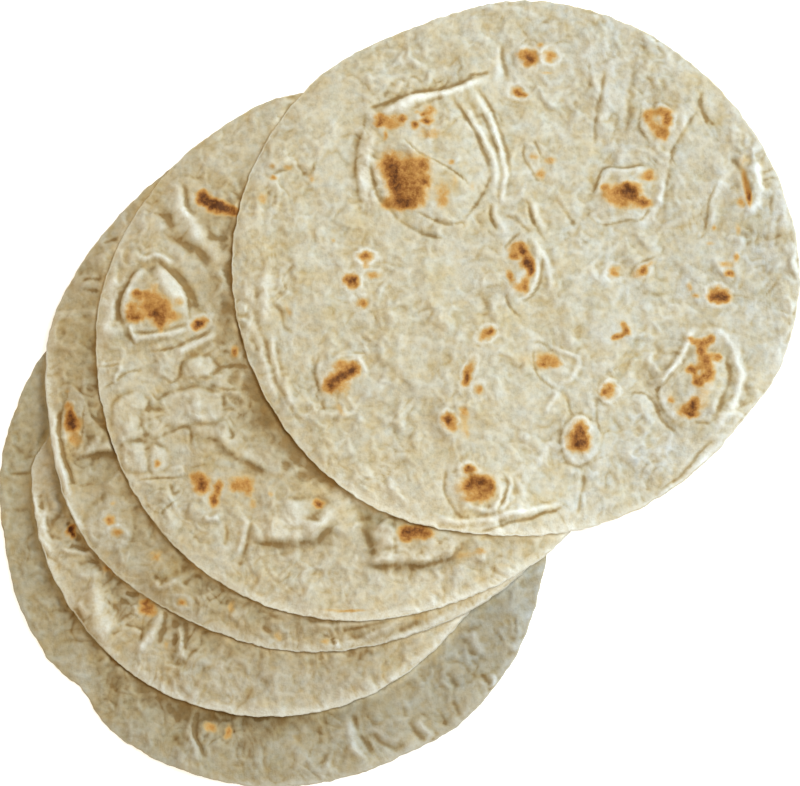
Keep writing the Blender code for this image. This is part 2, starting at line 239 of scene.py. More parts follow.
BUMP_STRENGTH, BUMP_HEIGHT = 0.7, 0.4 * MM


@dataclass
class Swell:
    """A stretch of rim that stands out past the oval, or falls short where out is below 0."""
    bearing: float
    half_angle: float
    out: float


@dataclass
class Lift:
    """A stretch of rim that curls up, over a band of the given reach."""
    bearing: float
    half_angle: float
    height: float
    reach: float


@dataclass
class Blister:
    """A puffed patch of the upper face, an oval around (x, y) from the bread's middle."""
    x: float
    y: float
    half_length: float
    half_width: float
    turn: float
    height: float


@dataclass
class ToneAndLight:
    """An oval patch of lighter or darker, cooler or warmer colour: partly the dough's own tone,
    and partly painted light and shade where the light falls unevenly. light and cool are
    from -1 to 1."""
    x: float
    y: float
    half_length: float
    half_width: float
    light: float
    cool: float
    turn: float = 0.0


@dataclass
class Toast:
    """An oval toasted spot, as brown as its strength. Its pale rim is puffed up by puff."""
    x: float
    y: float
    half_length: float
    half_width: float
    strength: float
    turn: float = 0.0
    puff: float = 0.0


@dataclass
class Crease:
    """A drawn line in the skin, through points from the bread's middle.

    A groove or a ridge runs along the line. A step raises the skin on the left of the line
    as it is followed, and fades away over the distance fade. A pad is raised all over the
    inside of the line, which is closed.
    """
    kind: str
    height: float
    width: float
    fade: float
    points: tuple


@dataclass
class Grain:
    """Wrinkles of one size in one part of a bread. run is round (along the rim), radial, or
    a bearing in degrees; stretch is how much longer than wide they are. The part is a
    bearing and half angle, and the distances inside the rim where it starts and ends."""
    size: float
    stretch: float
    run: object
    height: float
    bearing: float
    half_angle: float
    nearest: float
    furthest: float


@dataclass
class Bread:
    """One bread: where it lies, its outline and form as in the solid, its mesh, and its skin.

    The mesh's rings are closer together towards the rim where grading is below 1, and
    crowding draws the points of a ring to the side that shows. Stretches of rim are a
    bearing, a half angle and a share each.
    """
    node: str
    slot: str
    middle: tuple
    half_axes: tuple
    turn: float
    wave_height: float
    seed: int
    rings: int
    grading: float
    crowding: float
    # the dough's colour, darker on the lower breads partly as painted shade
    tint_and_shade: tuple
    swells: tuple
    lifts: tuple
    blisters: tuple
    tones_and_light: tuple
    grains: tuple
    toasts: tuple
    creases: tuple
    # stretches of pale rim, with flour and painted highlight
    floury_lit_rims: tuple
    pressed_rims: tuple = ()
    # stretches of rim that paint shadow on the breads below
    painted_shadow_rims: tuple = ()


def rows(kind, *entries):
    """One mark of that kind for each row of its values."""
    return tuple(kind(*entry) for entry in entries)


# The kinds of crease: height and width, a step's fade, and the points of its line
def groove(height, width, *points):
    return Crease("groove", height, width, 0.0, points)


def ridge(height, width, *points):
    return Crease("ridge", height, width, 0.0, points)


def pad(height, width, *points):
    return Crease("pad", height, width, 0.0, points)


def step(height, width, fade, *points):
    return Crease("step", height, width, fade, points)


BOTTOM = Bread(
    "bread_1_bottom", "bread_1_crumb", middle=(0.0, 0.0),
    half_axes=(128.5 * MM, 124.5 * MM), turn=-45.0,
    wave_height=0.0, seed=11, rings=150, grading=0.62, crowding=0.45,
    tint_and_shade=(0.465, 0.42, 0.305),
    floury_lit_rims=((-60, 50, 0.6),),
    swells=rows(
        Swell,
        (144, 17, 1.3), (187, 8, -2), (216, 17, -1), (223, 6, -4), (240, 17, 1.5), (264, 17, 1.1),
        (288, 17, -1.1), (300, 7, -1.4), (312, 17, 2.1), (331, 8, 1.1), (336, 17, -0.7),
    ),
    lifts=rows(
        Lift,
        (196, 16, 1.2, 16), (251, 14, 1.4, 20), (318, 22, 1.6, 24),
    ),
    blisters=rows(
        Blister,
        (-38, -111, 17, 9, 75, 1.2), (52, -96, 22, 8, -48, 1.3),
    ),
    tones_and_light=rows(
        ToneAndLight,
        (-9, -95, 20, 4, -0.4, -0.5), (36, -91, 18, 5, -0.24, -0.3, 14), (99, -59, 28, 28, -0.05, -0.1),
        (-117, 20, 12, 37, 0.04, -0.4), (115, -41, 23, 32, 0.03, 0.9), (88, -71, 28, 28, -0.02, 0.4),
        (-2, -111, 78, 16, 0.06, 0.45), (-85, -73, 28, 28, 0.12, 0.25),
    ),
    grains=rows(
        Grain,
        (5, 3.2, "radial", 0.44, 296, 46, 0, 60), (4.6, 2.4, "radial", 0.28, 236, 34, 0, 40),
        (3, 2, "round", 0.08, 185, 30, 0, 30),
    ),
    toasts=rows(
        Toast,
        (-28.5, -100, 2.6, 2.1, 0.4), (-30.5, -98, 1.8, 1.4, 0.2), (-20.5, -101.5, 1.4, 2.8, 0.5),
        (-22, -104, 1.4, 1.4, 0.25), (26, -90.5, 2.3, 1.8, 0.1),
    ),
    creases=(
        groove(0.6, 0.7, (-124, 18), (-101, 19)),
        groove(1, 1.1, (-33, -91), (-36, -97), (-36, -104), (-33, -110), (-31, -116)),
        ridge(0.9, 1.4, (-37, -93), (-39, -99), (-38, -105), (-35, -112), (-33, -117)),
        groove(0.5, 1.4, (-65, -79), (-69, -85), (-69, -90)),
        groove(0.5, 1.4, (-49, -88), (-42, -99)),
        groove(0.45, 1.4, (-46, -102), (-41, -113)),
        # Radial wrinkles of the lower right
        groove(1, 1.6, (35, -93), (46, -114)),
        ridge(0.7, 1.6, (33, -94), (37, -109), (43, -115)),
        groove(0.6, 1.4, (20, -98), (22, -109)),
        groove(0.6, 1.4, (43, -101), (49, -106), (56, -109), (63, -109)),
        ridge(0.5, 1.4, (45, -98), (50, -104), (58, -107)),
        groove(0.8, 1.3, (61, -95), (70, -107)),
        ridge(0.8, 1.3, (65, -96), (73, -105)),
        groove(0.5, 1.2, (58, -86), (61, -96)),
        groove(0.5, 1.2, (78, -73), (86, -82)),
        groove(0.5, 1.2, (81, -86), (86, -95)),
        groove(0.7, 1.2, (96, -74), (99, -81)),
        ridge(0.6, 1.2, (99, -74), (101, -78), (100, -82)),
        groove(0.5, 1.2, (73, -91), (78, -95), (79, -100)),
        groove(0.5, 1.4, (86, -57), (92, -68)),
        ridge(0.5, 1.6, (89, -55), (93, -61), (96, -67)),
        groove(1.2, 1.3, (-10, -95), (-1, -95)),
    ),
)
SECOND = Bread(
    "bread_2", "bread_2_crumb", middle=(2.8 * MM, 31.9 * MM),
    half_axes=(128.0 * MM, 115.5 * MM), turn=75.0,
    wave_height=0.6 * MM, seed=12, rings=150, grading=0.62, crowding=0.45,
    tint_and_shade=(0.54, 0.485, 0.36),
    floury_lit_rims=((-80, 50, 1.0), (200, 22, 0.8)),
    pressed_rims=((150, 30, 0.8), (265, 50, 0.8)),
    painted_shadow_rims=((228, 28, 0.5), (256, 22, 0.9)),
    swells=rows(
        Swell,
        (163, 10, -9), (176, 7, -9), (192, 9, -1.4), (216, 17, -0.4), (264, 17, -0.5), (288, 17, 0.5),
        (312, 17, -0.8),
    ),
    lifts=rows(
        Lift,
        (198, 20, 2, 14), (228, 14, 0.8, 14), (267, 10, 1.6, 16),
    ),
    blisters=rows(
        Blister,
        (-88, -77, 17, 9, 80, 1.6), (-42, -100, 15, 8, 80, 1.2),
    ),
    tones_and_light=rows(
        ToneAndLight,
        (92, -83, 28, 11, 0.26, 0.5, 35), (-62, -94, 14, 7, 0.13, 0.2, -40),
        (-82, -78, 4, 11, 0.18, 0.2, 15), (-69, -73, 6, 4, -0.16, -0.2, -20),
        (-18, -115, 74, 16, 0.03, 0.35), (-83, -83, 23, 23, 0.06, 0.1), (-101, -55, 9, 28, 0.06, 0),
    ),
    grains=rows(
        Grain,
        (4.4, 3, "radial", 0.32, 258, 40, 0, 34), (3.6, 2.5, "radial", 0.2, 212, 24, 0, 30),
        (3.6, 3, "round", 0.14, 190, 20, 0, 20),
    ),
    toasts=rows(
        Toast,
        (-96, -40, 1.4, 2.6, 1, -35), (-95, -42.5, 1.1, 1.8, 0.9), (-61, -76.5, 3, 3.2, 0.65),
        (-62.5, -74.5, 1.4, 1.4, 0.5), (-58, -78.5, 2.3, 1.9, 0.3), (-79, -57.5, 1.9, 2.3, 0.2),
        (-52, -93.5, 1.2, 2.3, 0.2), (-79, -58, 2.3, 2.1, 0.2), (-61, -74, 2.6, 2.6, 0.2),
    ),
    creases=(
        # The wavy left rim
        ridge(1, 1.3, (-114, -21), (-111, -37), (-105, -54)),
        ridge(0.8, 0.9, (-107, -28), (-109, -35), (-107, -42), (-104, -48)),
        groove(1, 2, (-102, -30), (-104, -38), (-102, -46)),
        groove(0.8, 1.2, (-110, -23), (-109, -29), (-110, -32)),
        groove(1.6, 1.4, (-98, -35), (-95, -41), (-91, -46)),
        ridge(0.9, 0.8, (-101, -49), (-94, -51), (-85, -50)),
        groove(0.8, 1.2, (-97, -47), (-91, -49), (-86, -49)),
        groove(0.6, 1.4, (-94, -58), (-88, -55), (-81, -55)),
        ridge(0.5, 1.4, (-95, -64), (-87, -61), (-80, -62)),
        # The steep wall, its pit and the folds beside it
        ridge(1.9, 3.8, (-77, -68), (-83, -72), (-84, -79), (-81, -86), (-76, -90)),
        groove(1.8, 3, (-70, -71), (-73, -77), (-70, -83)),
        groove(0.9, 1, (-72, -69), (-63, -70)),
        groove(0.6, 0.9, (-72, -84), (-63, -87)),
        ridge(0.6, 1, (-67, -75), (-66, -78), (-67, -80)),
        ridge(0.5, 1.2, (-75, -88), (-69, -87), (-63, -89)),
        ridge(1.3, 1.8, (-55, -77), (-56, -84), (-66, -98)),
        groove(0.7, 1.2, (-52, -77), (-55, -94)),
        ridge(1.4, 1.5, (-48, -84), (-45, -97), (-47, -102)),
        groove(1.2, 1.4, (-48, -80), (-48, -96)),
        groove(0.6, 1.2, (-43, -81), (-43, -90), (-44, -98)),
        groove(0.6, 1.4, (-94, -76), (-90, -84)),
        ridge(0.6, 1.4, (-93, -73), (-88, -82)),
        ridge(0.5, 1.8, (-26, -99), (-29, -108), (-28, -117)),
        groove(0.5, 1.6, (-33, -102), (-34, -110), (-33, -117)),
    ),
)
THIRD = Bread(
    "bread_3", "bread_3_crumb", middle=(23.6 * MM, 57.3 * MM),
    half_axes=(130.0 * MM, 121.0 * MM), turn=7.0,
    wave_height=0.7 * MM, seed=13, rings=150, grading=0.62, crowding=0.45,
    tint_and_shade=(0.51, 0.445, 0.31),
    floury_lit_rims=((-80, 50, 0.9), (188, 24, 1.2)),
    pressed_rims=((150, 30, 0.8), (265, 50, 0.8)),
    painted_shadow_rims=((228, 28, 0.6), (268, 26, 0.4)),
    swells=rows(
        Swell,
        (120, 17, 3.6), (144, 17, -0.4), (166, 8, 1.2), (188, 12, -2.2), (216, 17, 3.1), (264, 17, 1.8),
        (306, 20, 0.4),
    ),
    lifts=rows(
        Lift,
        (191, 20, 2.2, 13), (209, 8, 1, 12), (236, 20, 0.8, 15), (280, 24, 0.4, 18),
    ),
    blisters=rows(
        Blister,
        (-106, -14, 19, 13, 95, 2), (-70, -96, 20, 8, -38, 1.2), (20, -109, 30, 7, 3, 1.2),
    ),
    tones_and_light=rows(
        ToneAndLight,
        (-116, -26, 6, 6, 0.15, 0.2), (-120, 18, 12, 32, 0, -0.35), (2, -113, 51, 11, 0.08, 0.25),
        (67, -105, 28, 8, 0.24, 0.4, 30),
    ),
    grains=rows(
        Grain,
        (3.6, 3.5, "radial", 0.3, 262, 48, 0, 24), (3.2, 3, "radial", 0.16, 165, 34, 0, 24),
        (4, 2, 60, 0.12, 205, 30, 0, 40),
    ),
    toasts=rows(
        Toast,
        (-117, -13.5, 1.9, 4.4, 0.8, 5), (-116, -17.5, 3.2, 3.2, 1), (-115, -24.5, 3.2, 3, 0.35),
        (-118.5, -8.5, 1.4, 2.3, 0.25), (-118.5, -1.5, 1.2, 1.2, 0.18),
        (-99, -62, 2.3, 2.3, 0.55, 0, 0.2), (-95.5, -67.5, 2.3, 1.8, 0.4, 0, 0.2),
        (-97.5, -54, 1.6, 1.2, 0.2), (-77.5, -78.5, 2.6, 2.6, 0.3),
        (-65.5, -100, 2.1, 1.6, 0.45, -20, 0.25), (-43, -102, 1.6, 3, 0.25),
        (-21.5, -115.5, 1.8, 2.3, 0.2), (0, -118, 2.2, 1.7, 0.25), (42, -107, 4, 1.4, 0.15),
    ),
    creases=(
        # The upturned left rim and the blister beside it
        ridge(1.6, 1.7, (-127, -7), (-125, -26), (-123, -37), (-116, -54)),
        groove(1, 1.1, (-123, -9), (-121, -30), (-114, -48)),
        step(0.8, 1.1, 8, (-104, -29), (-102, -21), (-107, -14), (-112, -4), (-117, 1), (-123, 0)),
        step(0.6, 1, 6, (-119, -4), (-122, -21), (-119, -28)),
        step(1.9, 1.5, 10, (-118, -30), (-112, -32), (-100, -30), (-93, -31)),
        ridge(0.6, 1.6, (-111, -29), (-107, -28), (-103, -23)),
        pad(0.7, 1.3, (-88, -56), (-93, -52), (-99, -51), (-106, -55), (-110, -62), (-107, -71),
            (-100, -76), (-92, -74), (-88, -67)),
        ridge(0.5, 1.2, (-123, -46), (-117, -59), (-109, -68)),
        # Radial folds in the upper left rim
        groove(0.7, 0.8, (-103, 69), (-94, 71)),
        groove(0.6, 0.9, (-113, 51), (-108, 51), (-102, 51)),
        groove(0.6, 0.9, (-113, 47), (-108, 46), (-103, 46)),
        # Folds in the lower strip
        groove(0.8, 1.4, (-81, -86), (-75, -89), (-69, -87), (-62, -82)),
        ridge(0.7, 1.2, (-78, -88), (-76, -93), (-66, -89)),
        groove(0.7, 1.6, (-66, -92), (-60, -88), (-55, -88)),
        ridge(0.7, 1.6, (-59, -100), (-52, -94)),
        ridge(0.6, 1.6, (-44, -107), (-39, -105), (-35, -105)),
        groove(0.6, 1.4, (-46, -98), (-43, -102), (-44, -106)),
        groove(0.6, 1.6, (-29, -110), (-25, -114), (-23, -118)),
        ridge(0.5, 1.4, (-27, -108), (-21, -112), (-19, -116)),
        ridge(0.6, 1.1, (-12, -111), (7, -110), (33, -106)),
        groove(0.6, 1, (7, -113), (33, -108)),
        ridge(0.6, 1.1, (7, -119), (15, -118), (22, -115), (33, -112)),
        ridge(0.8, 1, (5, -116), (6, -122)),
        groove(0.6, 1, (3, -116), (5, -120)),
        ridge(0.5, 1.2, (26, -118), (39, -115), (50, -109), (60, -103)),
        groove(0.5, 1.4, (33, -114), (44, -108)),
        groove(0.6, 1.4, (-2, -120), (1, -114)),
    ),
)
FOURTH = Bread(
    "bread_4", "bread_4_crumb", middle=(42.5 * MM, 74.2 * MM),
    half_axes=(126.0 * MM, 124.5 * MM), turn=31.0,
    wave_height=0.8 * MM, seed=14, rings=150, grading=0.66, crowding=0.4,
    tint_and_shade=(0.59, 0.535, 0.4),
    floury_lit_rims=((-80, 50, 1.0), (185, 28, 0.35)),
    pressed_rims=((165, 50, 0.9), (265, 44, 0.8)),
    painted_shadow_rims=((228, 26, 0.6), (268, 24, 0.4), (186, 22, 0.55)),
    swells=rows(
        Swell,
        (110, 8, 2), (120, 17, 0.9), (168, 17, 0.4), (188, 22, -2), (240, 17, 1.7), (264, 17, 1.2),
        (288, 17, -0.7), (312, 17, 0.5),
    ),
    lifts=rows(
        Lift,
        (176, 24, 0.7, 16), (222, 22, 0.8, 16), (268, 20, 0.4, 18),
    ),
    blisters=rows(
        Blister,
        (-98, 21, 21, 15, 60, 3), (-77, 55, 22, 8, 62, 1.3), (-29, -80, 30, 14, 8, 2.2),
        (40, -86, 42, 13, 9, 2), (-68, -46, 17, 13, 120, 1.2),
    ),
    tones_and_light=rows(
        ToneAndLight,
        (-106, 57, 21, 23, 0.1, 0.2), (-17, -103, 55, 17, 0.07, 0.15, -20),
        (34, -103, 32, 16, 0.16, 0.3, 15), (-10, -74, 18, 6, 0.22, 0, -38),
        (-47, -32, 12, 16, -0.07, -0.2, -60), (4, -79, 13, 4, -0.3, -0.5, -22),
        (-43, -80, 14, 6, 0.13, 0.2, -10), (-26, -60, 12, 6, 0.1, 0.1, -30),
        (25, -92, 19, 5, 0.14, 0.2, 4), (24, -101, 25, 3, -0.14, -0.2, 4), (1, -88, 3, 12, -0.22, -0.3),
    ),
    grains=rows(
        Grain,
        (3.4, 3.5, "radial", 0.2, 255, 50, 0, 26), (3.4, 3, "round", 0.16, 165, 40, 0, 30),
        (6, 1.5, 20, 0.18, 205, 34, 10, 70),
    ),
    toasts=rows(
        Toast,
        # The burnt crescent beside the top bread
        (-75, 72, 2.7, 2.9, 1), (-70.5, 68.5, 5.6, 2.6, 1, -20), (-64.5, 67, 4.6, 2, 1, -25),
        (-70.5, 68.5, 4.1, 1.8, 1, -20), (-67, 67.5, 3.4, 1.4, 1, -22), (-74.5, 71.5, 1.5, 1.7, 1),
        (-60, 64.5, 1.5, 1.8, 0.7), (-67, 65, 5.3, 1.4, 0.4), (-75.5, 74, 2.7, 1.4, 0.35),
        # The kite's browning
        (-105.5, 26, 2.3, 1.8, 0.65), (-101, 25, 4.6, 2.3, 0.4), (-98, 22.5, 6.9, 3.8, 0.35),
        (-108, 19.5, 2.3, 2.6, 0.5), (-105.5, 15, 3.5, 2.3, 0.7), (-109, 15.5, 1.7, 2.3, 0.45),
        (-98, 16.5, 3.2, 2, 0.8), (-94.5, 14, 3.5, 3.1, 0.7), (-93, 19.5, 3.4, 3.1, 0.5),
        (-89, 15.5, 3.5, 2, 0.45), (-86, 22, 1.8, 2.1, 0.3), (-97.5, 29, 2.3, 2, 0.25),
        (-94.5, 10.5, 1.7, 2.3, 0.4), (-101, 19.5, 3.8, 2, 0.5), (-77, 12.5, 2.9, 2.1, 0.9, 20, 0.3),
        (-74, 14.5, 1.4, 1.2, 0.4), (-78.5, 10, 1.4, 0.9, 0.5), (-60.5, -0.5, 1.5, 2.3, 0.7, -15, 0.25),
        # Spots below
        (-96, -53, 1.4, 2, 0.45, 0, 0.2), (-78.5, -58.5, 2.9, 2.2, 0.4), (-75.5, -62, 3.7, 3.9, 0.65),
        (-76, -64, 2.6, 2.2, 0.5), (-68, -64, 1.7, 3.4, 0.7, -10), (-70, -70, 2, 2.9, 0.75),
        (-57.5, -62, 5.6, 3.6, 0.4), (-54, -64, 2.2, 4.4, 0.35), (-60, -64, 2.6, 1.7, 0.3),
        (-52, -71.5, 1.4, 2, 0.3), (-44, -67, 1.2, 1.5, 0.25), (-22, -71.5, 2.7, 2, 0.6),
        (-21.5, -72, 1.2, 1.2, 0.7), (18.5, -85, 2.9, 3, 0.85), (24, -84, 4.4, 2.1, 0.85),
        (22.5, -86.5, 7.1, 2.7, 0.45), (28, -86.5, 2.7, 2.1, 0.4), (18, -89, 2.1, 1.4, 0.35),
        (52.5, -94, 2.2, 1.6, 0.35), (46, -95.5, 3.8, 1.7, 0.2), (42.5, -96.5, 2.4, 2.1, 0.15),
        (-7.5, -121.5, 7.1, 0.7, 0.35, 2), (-16.5, -121, 4, 0.6, 0.2),
    ),
    creases=(
        # The kite-shaped blister and the folds beside it
        groove(1.1, 2.6, (-95, 70), (-91, 60), (-86, 51), (-78, 46), (-71, 37)),
        ridge(1.1, 2.8, (-88, 71), (-83, 61), (-68, 43), (-65, 34)),
        groove(0.7, 1.2, (-84, 81), (-82, 67), (-78, 64)),
        ridge(0.6, 1.4, (-87, 80), (-87, 72), (-83, 64), (-78, 60)),
        step(1.6, 0.9, 6, (-81, 13), (-84, 27), (-89, 34), (-97, 41)),
        groove(1, 1.6, (-78, 17), (-81, 28), (-86, 35), (-92, 41)),
        step(1.4, 0.9, 6, (-100, 41), (-107, 35), (-111, 27), (-113, 20), (-112, 12)),
        step(0.9, 0.7, 4, (-110, 12), (-106, 2)),
        ridge(1.5, 2.4, (-98, 39), (-94, 32), (-85, 21)),
        ridge(0.9, 0.9, (-106, 44), (-101, 43), (-97, 44), (-88, 41)),
        groove(0.7, 0.7, (-109, 9), (-104, 8), (-97, 8), (-81, 13)),
        ridge(0.9, 0.8, (-107, 5), (-97, 6), (-81, 10)),
        groove(0.6, 0.8, (-101, 0), (-94, 0), (-87, 2), (-70, 9)),
        ridge(1.1, 1.1, (-89, -2), (-68, 8)),
        groove(0.6, 1.2, (-113, 32), (-114, 21), (-113, 13), (-108, 3)),
        ridge(1.2, 2.6, (-118, 38), (-118, 19), (-120, 9), (-120, 1)),
        groove(0.5, 0.6, (-125, -8), (-113, -7)),
        ridge(0.6, 0.8, (-113, -7), (-116, -16)),
        groove(0.5, 1.6, (-74, 53), (-68, 53), (-63, 54)),
        # Pads between cracks, below the kite
        pad(1, 1.1, (-67, -20), (-80, -18), (-91, -21), (-94, -25), (-91, -34), (-80, -34), (-68, -32),
            (-66, -25)),
        pad(1, 1.1, (-94, -28), (-102, -29), (-100, -40), (-90, -36)),
        pad(1, 1.1, (-101, -24), (-107, -20), (-116, -27), (-113, -43), (-102, -39), (-101, -31)),
        pad(0.9, 1, (-93, -46), (-98, -44), (-100, -49), (-98, -57), (-91, -53)),
        pad(0.9, 1, (-69, -7), (-73, -3), (-81, -4), (-85, -11), (-73, -12)),
        pad(0.9, 1, (-102, -43), (-112, -44), (-111, -54), (-102, -57), (-100, -50)),
        groove(0.5, 0.7, (-68, -7), (-53, -8)),
        groove(0.45, 0.8, (-73, -15), (-66, -18), (-58, -19)),
        groove(0.5, 0.8, (-91, -39), (-85, -35), (-81, -37), (-81, -46)),
        groove(0.5, 0.8, (-96, -10), (-90, -15), (-86, -11), (-84, -3)),
        groove(0.45, 0.8, (-122, -19), (-110, -11), (-102, -9)),
        groove(0.45, 0.8, (-99, -20), (-95, -23), (-90, -19)),
        groove(0.5, 0.8, (-65, -32), (-62, -39), (-64, -42)),
        step(1.6, 2, 12, (-80, -43), (-74, -41), (-68, -42), (-59, -49), (-51, -53), (-42, -59)),
        groove(0.6, 0.6, (-106, -62), (-99, -60), (-83, -59)),
        ridge(0.5, 0.8, (-91, -55), (-85, -55), (-84, -59)),
        groove(0.5, 0.7, (-94, -78), (-92, -74), (-87, -70)),
        groove(0.5, 0.9, (-90, -61), (-89, -66), (-85, -65)),
        ridge(0.7, 1, (-75, -77), (-72, -79), (-67, -78)),
        groove(0.5, 1, (-65, -80), (-64, -86), (-65, -92)),
        groove(0.5, 1.1, (-51, -77), (-59, -105)),
        ridge(0.5, 1.1, (-54, -77), (-60, -98)),
        # The long bulge by the lower rim, with the pit in it
        step(2, 2.4, 14, (-54, -88), (-34, -89), (-24, -88), (-19, -83), (-13, -79)),
        groove(1.4, 3.6, (-20, -67), (-26, -82)),
        ridge(1.1, 4, (-32, -68), (-33, -84)),
        ridge(0.8, 2.6, (-29, -87), (-13, -75)),
        groove(1.6, 2.6, (0, -74), (0, -81), (4, -99)),
        ridge(1.2, 2.6, (5, -81), (9, -85), (11, -93)),
        step(2.6, 2, 16, (-4, -100), (14, -99), (25, -100), (33, -98), (39, -96), (41, -92), (48, -87)),
        groove(0.6, 1.1, (13, -87), (14, -96)),
    ),
)
